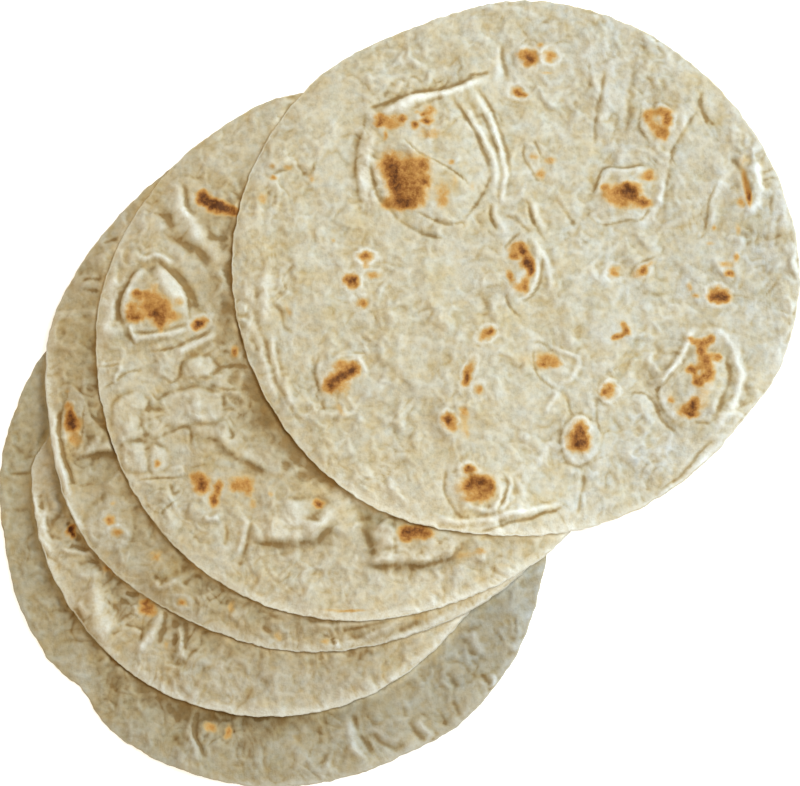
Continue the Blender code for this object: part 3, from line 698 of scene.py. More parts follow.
TOP = Bread(
    "bread_5_top", "bread_5_crumb", middle=(110.2 * MM, 112.4 * MM),
    half_axes=(130.0 * MM, 124.0 * MM), turn=4.0,
    wave_height=1.3 * MM, seed=15, rings=168, grading=0.94, crowding=0.0,
    tint_and_shade=(0.64, 0.595, 0.465),
    floury_lit_rims=((-25, 70, 0.5), (255, 30, 0.8)),
    pressed_rims=((160, 50, 1.0), (250, 34, 0.8)),
    painted_shadow_rims=((218, 14, 1.5), (252, 22, 0.3), (184, 24, 1.0)),
    swells=rows(
        Swell,
        (44, 17, -0.5), (55, 40, 1), (66, 17, 1.5), (88, 17, 3.4), (110, 17, -1.6), (132, 17, 1.8),
        (198, 17, -0.7), (220, 17, 0.9), (242, 17, 3), (264, 17, 0.6), (308, 17, -0.5), (330, 17, -1.8),
        (338, 6, 1.8), (352, 17, 2.1),
    ),
    lifts=rows(
        Lift,
        (186, 30, 0.9, 26), (222, 20, 1, 20), (258, 14, 0.6, 16), (118, 26, 0.5, 24), (20, 26, 1.4, 20),
    ),
    blisters=rows(
        Blister,
        (-40, 51, 37, 32, 92, 4.6), (84, -52, 25, 21, 110, 3.8), (51, 37, 16, 13, -35, 1.8),
        (66, 69, 11, 11, 0, 1.4), (106, 39, 14, 9, 80, 1.5), (5, 1, 15, 10, 85, 1.5),
        (-79, -51, 14, 11, -40, 1.6), (-17, -100, 16, 14, 20, 2), (29, -78, 12, 11, 90, 1.5),
        (-31, -70, 10, 10, 0, 1.4),
    ),
    tones_and_light=rows(
        ToneAndLight,
        (120, 10, 28, 69, -0.02, 0.55), (58, -86, 51, 23, 0.05, 0.55, 20),
        (49, 108, 55, 23, 0.03, 0.55, -25), (-43, -104, 60, 21, 0.08, 0.05), (58, 10, 55, 83, 0, 0.35),
        (-6, -112, 28, 6, 0.1, 0.1, 5), (72, -53, 28, 18, 0.04, 0.1),
    ),
    grains=rows(
        Grain,
        (2.8, 5, "round", 0.2, 205, 52, 0, 32), (3.4, 4, "round", 0.2, 5, 60, 0, 50),
        (3.2, 3, "round", 0.16, 100, 50, 0, 30), (3.6, 3, "radial", 0.16, 275, 30, 0, 45),
        (7, 4, 82, 0.45, 10, 62, 12, 95),
    ),
    toasts=rows(
        Toast,
        # The big blister's browning
        (-57.5, 48, 5.1, 5.1, 0.55), (-46.5, 48, 7.4, 5.1, 0.5), (-54.5, 41, 3.4, 10.1, 0.85, 10),
        (-48, 39, 7.4, 6.7, 0.6), (-49.5, 30.5, 6.4, 2.8, 0.85), (-41.5, 48, 2.4, 3.4, 0.45),
        (-40.5, 40.5, 2.2, 2.2, 0.6), (-58, 30, 3.4, 2.7, 0.4), (-44, 35, 3.4, 4, 0.45),
        (-61.5, 70.5, 2.4, 2.8, 0.55), (-61.5, 68, 1.7, 1.3, 0.7), (-57, 70, 4.7, 2.6, 0.4),
        (-51, 70.5, 1.7, 1.8, 0.65), (-55.5, 67, 4, 1.7, 0.35), (-45.5, 67.5, 1.5, 1.9, 0.7),
        (-38.5, 74, 2.8, 3.2, 0.45), (-40, 69, 2.7, 1.7, 0.7), (-41.5, 72.5, 1.3, 1.3, 0.5),
        (-38.5, 63, 5.7, 2.6, 0.27), (-59, 62.5, 1, 2.4, 0.45), (-32.5, 35, 3.2, 4.7, 0.33),
        (-33, 30.5, 2, 2.7, 0.3), (-27, 40.5, 1.7, 3.4, 0.2), (-28.5, 49.5, 1.5, 1.3, 0.4),
        (-19, 38.5, 1.3, 2.4, 0.15), (-44.5, 73.5, 1.3, 0.8, 0.3),
        # The spot right of the middle
        (4.5, 8.5, 2, 3.1, 0.95, 25), (6.5, 3, 2.8, 2.8, 0.95), (8, -0.5, 1.8, 2.9, 0.85),
        (0.5, 6, 2, 1.7, 0.7), (0, 8.5, 3.1, 3.1, 0.3), (-1.5, -3.5, 1.5, 3.1, 0.55, 20),
        (3, -9, 2.9, 2.3, 0.45), (5.5, -7, 1.7, 3.8, 0.5), (2.5, 11, 3.4, 2, 0.35),
        # Small spots above and beside it
        (7.5, 100.5, 3.5, 3.5, 0.85, 0, 0.3), (17, 101.5, 2.6, 2.6, 0.55, 0, 0.3),
        (12.5, 106.5, 1.5, 1.3, 0.4), (3.5, 102, 2.4, 2, 0.3), (2, 84.5, 2.6, 2, 0.65, -30, 0.3),
        (5, 83, 1.8, 1.1, 0.45), (15.5, 93.5, 2.8, 0.7, 0.25), (9.5, 53.5, 2, 1.8, 0.3),
        (12.5, 45.5, 2.4, 2.4, 0.35), (17, 52, 2.6, 2, 0.32), (-68, 5.5, 2.8, 1.9, 0.5, 0, 0.25),
        (68, 75, 5.3, 2, 0.45), (71, 71, 2.1, 3.2, 0.75, 0, 0.3), (68.5, 64.5, 2.7, 3, 0.6),
        (62, 72.5, 2.3, 2.8, 0.5), (64.5, 68, 1.8, 2.1, 0.25), (66.5, 68, 4.9, 4.2, 0.2),
        (51.5, 37, 6.7, 3.5, 0.5), (53, 38.5, 4.2, 2.5, 0.95), (55, 35, 3.2, 2.1, 0.85),
        (44.5, 35.5, 4.2, 3.9, 0.35), (49.5, 32, 3.5, 2.7, 0.5), (60, 32.5, 3.4, 1.8, 0.7),
        (62, 44.5, 3.5, 1.8, 0.5), (63, 47, 2.1, 1.4, 0.4), (42, 39.5, 2.1, 1.8, 0.4),
        (57.5, 31, 4.9, 2.1, 0.25), (107, 41.5, 1.4, 7, 0.45, 12), (108.5, 35, 1, 3.5, 0.8, 5),
        (105, 32.5, 2, 2.5, 0.35), (106.5, 52.5, 2.8, 2.1, 0.15), (46.5, -0.5, 2.5, 2.5, 0.5, 0, 0.25),
        (59.5, 0.5, 2, 1.7, 0.65, 0, 0.25), (57.5, -1.5, 3.2, 2, 0.25), (62, 3, 3.2, 1.3, 0.25, 35),
        (102.5, 7, 1.4, 1.8, 0.5), (98, 3.5, 3.5, 1.5, 0.3), (99, -0.5, 2, 1.4, 0.65),
        (100, -1.5, 1.8, 1.1, 0.4), (92.5, 21, 1.1, 1.4, 0.35), (103.5, 20, 1.3, 2.3, 0.25),
        (81, -7, 1.4, 2, 0.3), (84, -11, 1.7, 1.1, 0.35), (90.5, 13.5, 1.8, 1, 0.25),
        (94, -10.5, 3.9, 3.5, 0.6, 0, 0.3), (96.5, -11.5, 3, 2.5, 0.9), (92, -12, 2.5, 1.7, 0.6),
        # The middle's spots
        (-74.5, -6.5, 2.7, 2.8, 0.75, 0, 0.25), (-73, -6, 1.6, 2.7, 0.6), (-77, -5.5, 1.7, 1.9, 0.5),
        (-68, 5, 2.8, 1.8, 0.45, 0, 0.2), (-68, 1, 1.6, 2, 0.28), (-64.5, -3.5, 3.1, 1.6, 0.4, 0, 0.2),
        (-70, -16.5, 3, 2.4, 0.3, 0, 0.2), (-69, -17, 1.2, 1.5, 0.45), (-103.5, -20.5, 1.2, 3, 0.22, 20),
        (-79.5, -50.5, 8.4, 3.7, 0.4, 38, 0.3), (-73.5, -48, 2.4, 2.7, 0.9),
        (-77, -50, 4.7, 1.9, 0.8, 35), (-84, -55.5, 2.8, 3.2, 0.75), (-82, -52.5, 4, 2, 0.5, 35),
        (-79.5, -45.5, 4, 2, 0.4), (-78, -55.5, 3.4, 4, 0.28), (-79.5, -66.5, 1.5, 4, 0.22, 25),
        (-12.5, -31, 3.3, 2.3, 0.55, 30, 0.3), (-10.5, -29.5, 1.5, 1.5, 0.8),
        (-20.5, -48.5, 2.1, 5.3, 0.45, -20, 0.25), (-21.5, -50.5, 1, 2.9, 0.6),
        (-22, -53.5, 1.7, 1.9, 0.6), (-16, -57.5, 1.9, 2.3, 0.45, 0, 0.2),
        (-30, -71.5, 2.7, 2.7, 0.95, 0, 0.25), (-28, -75, 2.9, 2.3, 0.35), (-23, -67.5, 2.5, 2.5, 0.3),
        (-22.5, -72, 1.9, 5.8, 0.22), (-21.5, -78, 1.9, 2.1, 0.2), (15, -43, 4.6, 3.3, 0.4, -15),
        (19.5, -44, 2.1, 2.1, 0.45), (5, -42.5, 3.9, 3.1, 0.14), (13, -45, 2.5, 1.5, 0.5),
        (16.5, -41, 3.9, 1.4, 0.3), (43.5, -56.5, 3.1, 3.3, 0.5, 0, 0.3), (41.5, -57.5, 1.5, 2.1, 0.5),
        (44.5, -54, 1.5, 1.5, 0.3), (30.5, -75, 2.9, 3.5, 0.85, 0, 0.3), (29.5, -80, 4.3, 4.3, 0.75),
        (32.5, -82.5, 2.1, 1.9, 0.5), (33, -80, 1.9, 2.9, 0.4), (29.5, -83, 3.9, 1.9, 0.5),
        (49, -30.5, 3.5, 1.2, 0.6, 25), (52, -28, 1.4, 2.5, 0.65, 30), (50.5, -25, 1.2, 1.4, 0.4),
        (46.5, -31.5, 1.2, 1.2, 0.5),
        # The big spot by the lower rim
        (-16, -103, 6.8, 6, 0.45), (-20.5, -94.5, 2.5, 1.7, 0.85, 0, 0.25), (-17, -99.5, 4.8, 1.9, 0.65),
        (-21, -103, 2.5, 2.5, 0.7), (-10.5, -103, 1.7, 3.9, 0.55), (-14, -105, 2.9, 2.3, 0.4),
        (-17.5, -108.5, 5.8, 1.7, 0.4), (-26, -103.5, 2.3, 2.9, 0.14), (-16, -101, 3.9, 1.2, 0.7),
        # The lower right blister's browning
        (82.5, -32.5, 2.9, 1.5, 0.5, -20), (87.5, -33.5, 3.3, 1.9, 0.6), (90.5, -31.5, 2.1, 2.1, 0.55),
        (86, -37.5, 2.1, 3.5, 0.75), (89, -41.5, 2.5, 3.3, 0.65), (94, -40, 2.1, 1.7, 0.6, -30),
        (81.5, -46, 2.3, 2.1, 0.65), (85.5, -45, 2.9, 2.3, 0.4), (90, -48, 2.5, 3.9, 0.65),
        (85, -52, 2.5, 1.9, 0.7), (87.5, -49.5, 2.1, 1.5, 0.5), (83.5, -49.5, 1.2, 2.9, 0.45),
        (72.5, -60, 1.7, 1.7, 0.45), (82.5, -63, 1.9, 3.1, 0.95), (79, -65.5, 3.7, 2.5, 0.5),
        (82, -67, 2.5, 1.5, 0.75), (87.5, -56.5, 3.5, 2.9, 0.18), (84.5, -62.5, 4.8, 3.5, 0.25),
        # Faint spots by the upper left rim
        (-115.5, 32.5, 2.6, 2.4, 0.28), (-110.5, 42.5, 1.8, 1.4, 0.4), (-111, 48, 1.4, 1.5, 0.3),
        (-104, 47.5, 2.3, 1.1, 0.3), (-93, 42, 1.5, 1.8, 0.28), (-83, 13, 1.1, 0.9, 0.25),
        (-80, -104.5, 2.1, 2.4, 0.1),
    ),
    creases=(
        # The big blister: its flap, the folds around it and the crack across
        step(1, 0.9, 9, (-8, 94), (-25, 87), (-49, 81), (-63, 73)),
        ridge(0.9, 1.6, (-64, 72), (-49, 79), (-24, 86), (-10, 91)),
        ridge(0.7, 2.2, (-61, 72), (-55, 75), (-39, 80)),
        groove(0.45, 0.9, (-48, 75), (-37, 80), (-31, 81)),
        groove(0.6, 0.8, (-68, 75), (-51, 82)),
        groove(0.7, 0.7, (-22, 91), (-11, 94)),
        step(0.5, 0.8, 5, (-67, 72), (-71, 58), (-72, 48), (-72, 40), (-71, 33), (-68, 29)),
        ridge(0.9, 2, (-64, 69), (-68, 52), (-69, 45), (-67, 31), (-64, 25)),
        groove(0.8, 0.8, (-66, 52), (-64, 38), (-61, 32), (-52, 21)),
        ridge(0.5, 1.2, (-64, 50), (-63, 44), (-57, 31)),
        groove(0.9, 0.9, (-30, 81), (-26, 78), (-17, 63), (-10, 44)),
        groove(0.6, 0.8, (-10, 46), (-12, 39), (-23, 22)),
        ridge(0.8, 1.3, (-27, 82), (-22, 76), (-17, 68), (-10, 53), (-8, 46), (-8, 39), (-10, 32)),
        ridge(1, 1.1, (-20, 87), (-16, 81), (-8, 64), (-4, 47), (-4, 40), (-8, 26)),
        groove(0.5, 0.7, (-16, 78), (-9, 60), (-7, 51)),
        groove(0.6, 0.8, (-17, 88), (-12, 79), (-4, 60), (-2, 50), (-2, 42)),
        groove(0.6, 0.7, (-11, 30), (-10, 25), (-8, 20), (-6, 18)),
        groove(0.55, 0.7, (-47, 27), (-32, 21), (-23, 22), (-24, 16)),
        groove(0.7, 0.5, (-51, 62), (-45, 55), (-27, 45), (-19, 38)),
        groove(0.5, 0.8, (-55, 24), (-41, 16), (-30, 13)),
        # Puckers round the big blister
        groove(0.55, 1, (-60, 80), (-58, 85), (-55, 89)),
        ridge(0.5, 1.2, (-55, 82), (-51, 90)),
        groove(0.5, 0.9, (-50, 84), (-47, 91), (-40, 87)),
        groove(0.7, 1.3, (-4, 108), (-5, 103), (-3, 89)),
        ridge(0.5, 1.5, (-7, 108), (-7, 86)),
        groove(0.6, 0.8, (5, 61), (5, 53), (10, 44), (13, 42), (16, 43)),
        groove(0.45, 0.7, (9, 62), (12, 56), (13, 49)),
        groove(0.5, 0.8, (5, 35), (11, 19)),
        groove(0.45, 0.7, (-4, 26), (6, 19)),
        # Right-hand side
        step(0.7, 0.7, 4, (74, 72), (73, 76), (69, 79), (64, 79)),
        step(0.6, 0.7, 4, (59, 81), (59, 75), (59, 68), (63, 60)),
        step(0.8, 1.1, 6, (68, 27), (72, 53), (73, 58), (82, 73), (84, 79), (83, 86)),
        step(0.9, 0.7, 8, (64, 48), (59, 49), (52, 48), (44, 49), (39, 42), (36, 33)),
        step(0.6, 0.7, 6, (36, 34), (36, 26), (42, 23), (52, 25), (59, 25), (64, 35)),
        ridge(0.55, 1.4, (67, 46), (69, 38), (66, 31), (61, 24), (54, 21)),
        groove(1, 1.3, (99, 55), (102, 52), (106, 46), (108, 38), (108, 32)),
        ridge(1.1, 1.5, (111, 53), (113, 45), (113, 36), (111, 30), (105, 26)),
        groove(0.5, 1, (35, 99), (35, 85)),
        groove(0.55, 1, (43, 99), (41, 86), (39, 78), (38, 70), (38, 63), (40, 57)),
        groove(0.5, 0.9, (21, 34), (29, 19)),
        groove(0.6, 0.9, (95, 45), (90, 33), (87, 14)),
        groove(0.45, 1.2, (120, 40), (118, 26)),
        groove(0.45, 1.2, (123, 28), (120, 11)),
        groove(0.45, 1, (87, 85), (87, 76), (90, 70)),
        groove(0.5, 0.8, (53, -4), (55, 1), (61, 5), (68, 8)),
        ridge(0.6, 2.2, (38, 114), (35, 97), (41, 80), (37, 64)),
        groove(0.6, 1.8, (56, 99), (52, 63)),
        ridge(0.6, 2.2, (101, 49), (93, 36), (90, 19)),
        groove(0.6, 1.8, (84, 87), (89, 72), (98, 68)),
        # The spot right of the middle, under its fold
        groove(0.6, 0.8, (-3, 8), (-3, 12), (4, 18)),
        ridge(0.8, 1.3, (5, 17), (9, 14), (16, 1), (17, -5), (16, -11)),
        groove(0.55, 0.7, (10, 11), (13, 6), (13, 0), (11, -8), (7, -14), (1, -17)),
        ridge(0.5, 0.9, (9, 7), (11, 1), (10, -5), (8, -11), (4, -15), (-1, -16)),
        groove(0.6, 0.7, (-3, -10), (-3, -15), (0, -20), (4, -22)),
        groove(0.6, 0.7, (-11, 32), (-9, 21), (-7, 17)),
        ridge(0.5, 1.3, (-9, 32), (-8, 26), (-5, 21), (-2, 17)),
        groove(0.55, 0.8, (-1, 26), (9, 17)),
        groove(0.6, 0.9, (6, 31), (11, 19), (15, 14)),
        ridge(0.6, 1.2, (9, 33), (12, 23), (16, 18)),
        groove(0.5, 0.8, (8, -35), (12, -34), (20, -40)),
        # Left-hand side: creases along the rim
        ridge(1, 2.6, (-111, 2), (-114, -7), (-115, -17), (-115, -28)),
        groove(0.5, 1.8, (-117, -7), (-118, -19), (-116, -34)),
        ridge(0.5, 2, (-121, -7), (-121, -21), (-120, -34)),
        groove(0.7, 1.1, (-111, -15), (-107, -21), (-105, -28), (-101, -32)),
        groove(0.5, 1, (-129, -21), (-125, -23), (-122, -21)),
        ridge(0.6, 1.8, (-128, -16), (-125, -19), (-122, -20)),
        groove(0.6, 1.4, (-115, -29), (-111, -46), (-106, -58), (-97, -75)),
        groove(0.5, 1.1, (-109, -33), (-107, -49), (-104, -60)),
        ridge(0.7, 1.4, (-112, -30), (-110, -43), (-106, -55), (-100, -68)),
        ridge(0.6, 1.6, (-119, -29), (-117, -38), (-114, -49), (-108, -62)),
        groove(0.5, 1.4, (-122, -27), (-113, -54)),
        groove(0.45, 0.5, (-81, -41), (-77, -40), (-67, -40)),
        step(0.9, 0.9, 5, (-88, -41), (-90, -46), (-90, -51), (-88, -58), (-84, -61)),
        ridge(0.45, 0.9, (-84, -43), (-77, -40), (-71, -43), (-68, -48), (-69, -53)),
        groove(0.45, 0.8, (-111, 43), (-107, 46), (-101, 49)),
        groove(0.5, 0.8, (-100, 53), (-98, 47), (-94, 44), (-90, 53)),
        groove(0.45, 0.9, (-98, 45), (-95, 40), (-93, 41)),
        # Lower side
        groove(0.6, 0.7, (9, -36), (10, -49), (16, -54), (21, -56)),
        ridge(0.5, 0.9, (11, -35), (29, -41), (29, -47), (25, -52), (19, -53)),
        ridge(0.45, 0.9, (21, -57), (14, -68)),
        step(0.7, 0.9, 6, (41, -78), (39, -73), (31, -69), (24, -73), (22, -80), (24, -88), (30, -91),
            (38, -86), (41, -78)),
        groove(0.5, 0.7, (24, -60), (28, -70)),
        groove(0.55, 0.9, (38, -59), (39, -73), (42, -78)),
        step(0.6, 0.7, 4, (49, -52), (44, -50), (40, -54), (39, -58), (41, -62), (47, -63)),
        groove(0.6, 0.8, (51, -58), (61, -58), (71, -72), (79, -78)),
        ridge(1, 1.2, (62, -57), (76, -42), (82, -28), (86, -26)),
        groove(0.6, 0.9, (64, -57), (71, -50), (77, -43)),
        ridge(1.3, 1.5, (86, -26), (95, -29), (101, -35), (104, -44), (104, -52), (101, -63), (95, -71),
            (88, -77)),
        groove(1, 1.3, (97, -37), (99, -45), (98, -55), (91, -72)),
        step(0.7, 0.9, 5, (76, -42), (70, -48), (67, -55), (68, -62), (72, -68), (78, -72)),
        groove(0.45, 0.7, (82, -70), (91, -72)),
        groove(0.6, 0.8, (92, -77), (77, -94), (66, -104)),
        ridge(0.6, 1.5, (99, -75), (80, -97), (69, -106), (56, -112)),
        groove(0.5, 0.9, (31, -92), (32, -100), (28, -118)),
        ridge(0.8, 1.1, (-38, -118), (-17, -119), (0, -115), (16, -111), (24, -106)),
        groove(0.6, 0.8, (-24, -124), (-9, -122), (20, -112), (25, -107)),
        ridge(0.6, 0.9, (-7, -99), (-6, -107), (-10, -113), (-19, -113), (-24, -110)),
        groove(0.6, 0.7, (-5, -95), (-3, -102), (-5, -109), (-9, -114)),
        ridge(0.6, 0.8, (-3, -94), (-1, -100), (-3, -109), (-7, -114)),
        groove(0.5, 0.8, (-30, -89), (-32, -101), (-29, -111), (-24, -117), (-15, -119)),
        ridge(0.5, 1, (0, -96), (6, -109)),
        ridge(0.5, 1, (-2, -97), (2, -95), (5, -91)),
        ridge(0.5, 1.2, (17, -79), (14, -87), (10, -92)),
    ),
)
BREADS = (BOTTOM, SECOND, THIRD, FOURTH, TOP)


def smooth_step(low, high, value):
    """0 below low, 1 above high, and a smooth rise between."""
    share = np.clip((value - low) / (high - low), 0.0, 1.0)
    return share * share * (3.0 - 2.0 * share)


def bell(away):
    """A smooth hump: 1 where away is 0."""
    return np.exp(-away ** 2)


def turned(x, y, degrees):
    """Distances along and across a heading."""
    turn = math.radians(degrees)
    return x * math.cos(turn) + y * math.sin(turn), y * math.cos(turn) - x * math.sin(turn)


def oval_share(mark, x, y):
    """How far out points are in a mark's oval: 0 in its middle, and 1 on its edge."""
    along, across = turned(x, y, mark.turn)
    return np.hypot(along / (mark.half_length * MM), across / (mark.half_width * MM))


def angle_off(bearing, degrees):
    """How far bearing (an array, in radians) is from a bearing in degrees, in degrees."""
    return np.abs((np.degrees(bearing) - degrees + 180.0) % 360.0 - 180.0)


def rim_radius(bread, bearing):
    """Distance from the bread's middle to its rim: an uneven oval."""
    half_long, half_short = bread.half_axes
    along = bearing - np.radians(bread.turn)
    oval = half_long * half_short / np.hypot(half_short * np.cos(along), half_long * np.sin(along))
    random = np.random.default_rng(bread.seed)
    for count in WOBBLE_COUNTS:
        share = WOBBLE / len(WOBBLE_COUNTS) * random.uniform(0.5, 1.5)
        oval = oval + share * np.cos(count * bearing + random.uniform(0.0, 2.0 * np.pi))
    for swell in bread.swells:
        beside = bell(angle_off(bearing, swell.bearing) / swell.half_angle)
        oval = oval + swell.out * MM * beside
    return oval


def polar(bread, x, y):
    """Bearing of world points around the bread's middle, and how far inside the rim they are."""
    east = x - bread.middle[0]
    north = y - bread.middle[1]
    bearing = np.arctan2(north, east)
    return bearing, rim_radius(bread, bearing) - np.hypot(east, north)


def waves(bread, x, y):
    """Gentle waves of the whole bread, never below nought, stronger towards the rim."""
    random = np.random.default_rng(bread.seed + 100)
    total = np.zeros_like(x)
    for length in WAVE_LENGTHS:
        heading = random.uniform(0.0, 2.0 * np.pi)
        phase = random.uniform(0.0, 2.0 * np.pi)
        run = x * np.cos(heading) + y * np.sin(heading)
        total += 0.5 + 0.5 * np.cos(2.0 * np.pi * run / length + phase)
    inward = polar(bread, x, y)[1] / bread.half_axes[0]
    strength = MIDDLE_WAVES + (1.0 - MIDDLE_WAVES) * smooth_step(*WAVE_BAND, inward)
    return bread.wave_height * strength * total / len(WAVE_LENGTHS)


def rim_lift(bread, x, y):
    """How much the curled stretches of rim raise the bread."""
    bearing, inward = polar(bread, x, y)
    total = np.zeros_like(x)
    for lift in bread.lifts:
        beside = bell(angle_off(bearing, lift.bearing) / lift.half_angle)
        reach = lift.reach * MM
        total += lift.height * MM * beside * smooth_step(reach, CURL_PAST * reach, inward)
    return total


def blister_height(blister, east, north):
    """A smooth mound: flat on top, steeper at its sides."""
    away = oval_share(blister, east - blister.x * MM, north - blister.y * MM)
    return blister.height * MM * smooth_step(*BLISTER_SIDE, away)


def thickness(bread, x, y):
    """Thickness of the bread: thinner at its rim, thicker where a blister has puffed it."""
    inward = polar(bread, x, y)[1]
    total = RIM_THICKNESS + (THICKNESS - RIM_THICKNESS) * smooth_step(0.0, RIM_TAPER, inward)
    for blister in bread.blisters:
        total = total + blister_height(blister, x - bread.middle[0], y - bread.middle[1])
    return total


def disc_offsets(radius):
    """Grid steps to every cell within the radius, with a bell-shaped weight for each."""
    reach = int(radius / CELL)
    offsets = []
    for row in range(-reach, reach + 1):
        for column in range(-reach, reach + 1):
            away = (row * row + column * column) * CELL * CELL / (radius * radius)
            if away < 1.0:
                offsets.append((row, column, (1.0 - away) ** 2))
    return reach, offsets


def shifted(padded, reach, row, column, shape):
    """The padded field, moved by some rows and columns and cut back to its own shape."""
    return padded[reach + row:reach + row + shape[0], reach + column:reach + column + shape[1]]


def soften(field, radius):
    """Weighted mean of the field over a disc."""
    reach, offsets = disc_offsets(radius)
    padded = np.pad(field, reach, mode="edge")
    total = np.zeros_like(field)
    for row, column, weight in offsets:
        total += weight * shifted(padded, reach, row, column, field.shape)
    return total / sum(weight for _, _, weight in offsets)


def spread(field, radius):
    """Highest value of the field over a disc."""
    reach, offsets = disc_offsets(radius)
    padded = np.pad(field, reach, mode="edge")
    highest = field.copy()
    for row, column, _ in offsets:
        np.maximum(highest, shifted(padded, reach, row, column, field.shape), out=highest)
    return highest


def drape(support):
    """Underside of a soft bread on the support: smooth, and nowhere below the support."""
    softened = soften(support, BEND)
    shortfall = np.maximum(0.0, support - softened)
    return softened + soften(spread(shortfall, HUG), HUG)


def lay_breads():
    """Heights of each bread's underside on the grid, from the bottom bread up."""
    axis = np.arange(GRID_LOW, GRID_HIGH, CELL)
    x, y = np.meshgrid(axis, axis)
    support = np.zeros_like(x)
    undersides = []
    for bread in BREADS:
        underside = drape(support) + waves(bread, x, y) + rim_lift(bread, x, y)
        undersides.append(underside)
        inward = polar(bread, x, y)[1]
        top = underside + thickness(bread, x, y) + GAP
        support = np.where(inward > 0.0, np.maximum(support, top), support)
    return undersides


def cubic_weights(share):
    """Weights of the four cells in a row around a point, at a share of the way past one."""
    return (
        ((2.0 - share) * share - 1.0) * share * 0.5,
        ((3.0 * share - 5.0) * share * share + 2.0) * 0.5,
        ((4.0 - 3.0 * share) * share + 1.0) * share * 0.5,
        (share - 1.0) * share * share * 0.5,
    )


def read_grid(field, x, y):
    """Field at any points, by a smooth curve through the four cells each way around them."""
    column = (x - GRID_LOW) / CELL
    row = (y - GRID_LOW) / CELL
    left = np.floor(column).astype(int)
    front = np.floor(row).astype(int)
    across = cubic_weights(column - left)
    back = cubic_weights(row - front)
    total = np.zeros_like(x)
    for i in range(4):
        for j in range(4):
            total += back[i] * across[j] * field[front + i - 1, left + j - 1]
    return total


def ease(share):
    """Share of the way between two cells of the noise, eased at both."""
    return share * share * share * (share * (share * 6.0 - 15.0) + 10.0)


def noise(x, y, size, seed):
    """A smooth random field with bumps about size wide, mostly between -1 and 1."""
    angles = np.random.default_rng(seed).uniform(0.0, 2.0 * np.pi, (LATTICE, LATTICE))
    u = x / size + NOISE_SHIFT[0]
    v = y / size + NOISE_SHIFT[1]
    i = np.floor(u).astype(int)
    j = np.floor(v).astype(int)
    u = u - i
    v = v - j
    ease_u = ease(u)
    ease_v = ease(v)
    total = np.zeros_like(u)
    for di in (0, 1):
        for dj in (0, 1):
            angle = angles[(i + di) % LATTICE, (j + dj) % LATTICE]
            dot = np.cos(angle) * (u - di) + np.sin(angle) * (v - dj)
            total += dot * (ease_u if di else 1.0 - ease_u) * (ease_v if dj else 1.0 - ease_v)
    return NOISE_GAIN * total


def pulled(x, y, reach, size, seed):
    """Points moved about at random, by up to about reach."""
    return x + reach * noise(x, y, size, seed), y + reach * noise(x, y, size, seed + 1)


def wrinkle(x, y, size, seed):
    """Thin grooves between rounded pads: 0 on the pads, down to -1 in the grooves."""
    field = noise(*pulled(x, y, WRINKLE_PULL * size, WRINKLE_PULL_SIZE * size, seed + 1), size, seed)
    return -np.clip(1.0 - WRINKLE_NARROWING * np.abs(field), 0.0, 1.0) ** WRINKLE_POWER


def lumps(x, y, size, seed):
    """Soft lumps with somewhat narrower valleys between them, pulled about a little."""
    field = noise(*pulled(x, y, LUMP_PULL * size, LUMP_PULL_SIZE * size, seed + 31), size, seed)
    return field - VALLEY_DEPTH * bell(field / VALLEY_WIDTH) + LUMP_RISE


def grain_axes(bread, grain, x, y):
    """Coordinates across and along a grain's wrinkles."""
    bearing, inward = polar(bread, x, y)
    around = bearing * bread.half_axes[0] * GRAIN_CIRCLE
    if grain.run == "radial":
        return around, inward / grain.stretch
    if grain.run == "round":
        return inward, around / grain.stretch
    along, across = turned(x, y, grain.run)
    return across, along / grain.stretch


def grain_patch(bread, grain, x, y, seed):
    """How strong a grain is at each point: faded at its part's edges, and patchy."""
    bearing, inward = polar(bread, x, y)
    off = angle_off(bearing, grain.bearing)
    nearest = grain.nearest * MM
    furthest = grain.furthest * MM
    patch = smooth_step(grain.half_angle + GRAIN_ANGLES[0], grain.half_angle + GRAIN_ANGLES[1], off)
    patch = patch * smooth_step(nearest - GRAIN_EDGE, nearest + GRAIN_START, inward)
    patch = patch * smooth_step(furthest + GRAIN_EDGE, furthest - GRAIN_EDGE, inward)
    return patch * (GRAIN_MEAN + GRAIN_SWING * noise(x, y, GRAIN_PATCHES, seed + 6))


def grain_relief(bread, grain, x, y, seed):
    """Height of one grain's wrinkles, soft folds with a few sharper grooves, and the grooves."""
    across, along = grain_axes(bread, grain, x, y)
    size = grain.size * MM
    across = across + GRAIN_SWAY * size * noise(x, y, GRAIN_SWAY_SIZE * size, seed + 5)
    folds = noise(across, along, size, seed)
    folds = folds + GRAIN_FOLD * noise(across, along, GRAIN_FOLD_SIZE * size, seed + 1)
    grooves = wrinkle(across, along, GRAIN_GROOVE_SIZE * size, seed + 2)
    grooves = min(1.0, (GROOVED_SIZE / grain.size) ** 2) * grooves
    patch = grain_patch(bread, grain, x, y, seed)
    return grain.height * MM * patch * (folds + GRAIN_GROOVE * grooves), patch * -grooves


def smooth_line(points):
    """Points on a smooth curve through the given ones, in metres."""
    points = np.array(points, float) * MM
    padded = np.concatenate([[2.0 * points[0] - points[1]], points, [2.0 * points[-1] - points[-2]]])
    line = []
    for k in range(len(points) - 1):
        p0, p1, p2, p3 = padded[k:k + 4]
        for t in np.linspace(0.0, 1.0, CURVE_STEPS, endpoint=False):
            line.append(0.5 * (
                2.0 * p1 + (p2 - p0) * t + (2.0 * p0 - 5.0 * p1 + 4.0 * p2 - p3) * t * t
                + (3.0 * p1 - p0 - 3.0 * p2 + p3) * t ** 3
            ))
    line.append(points[-1])
    return np.array(line)


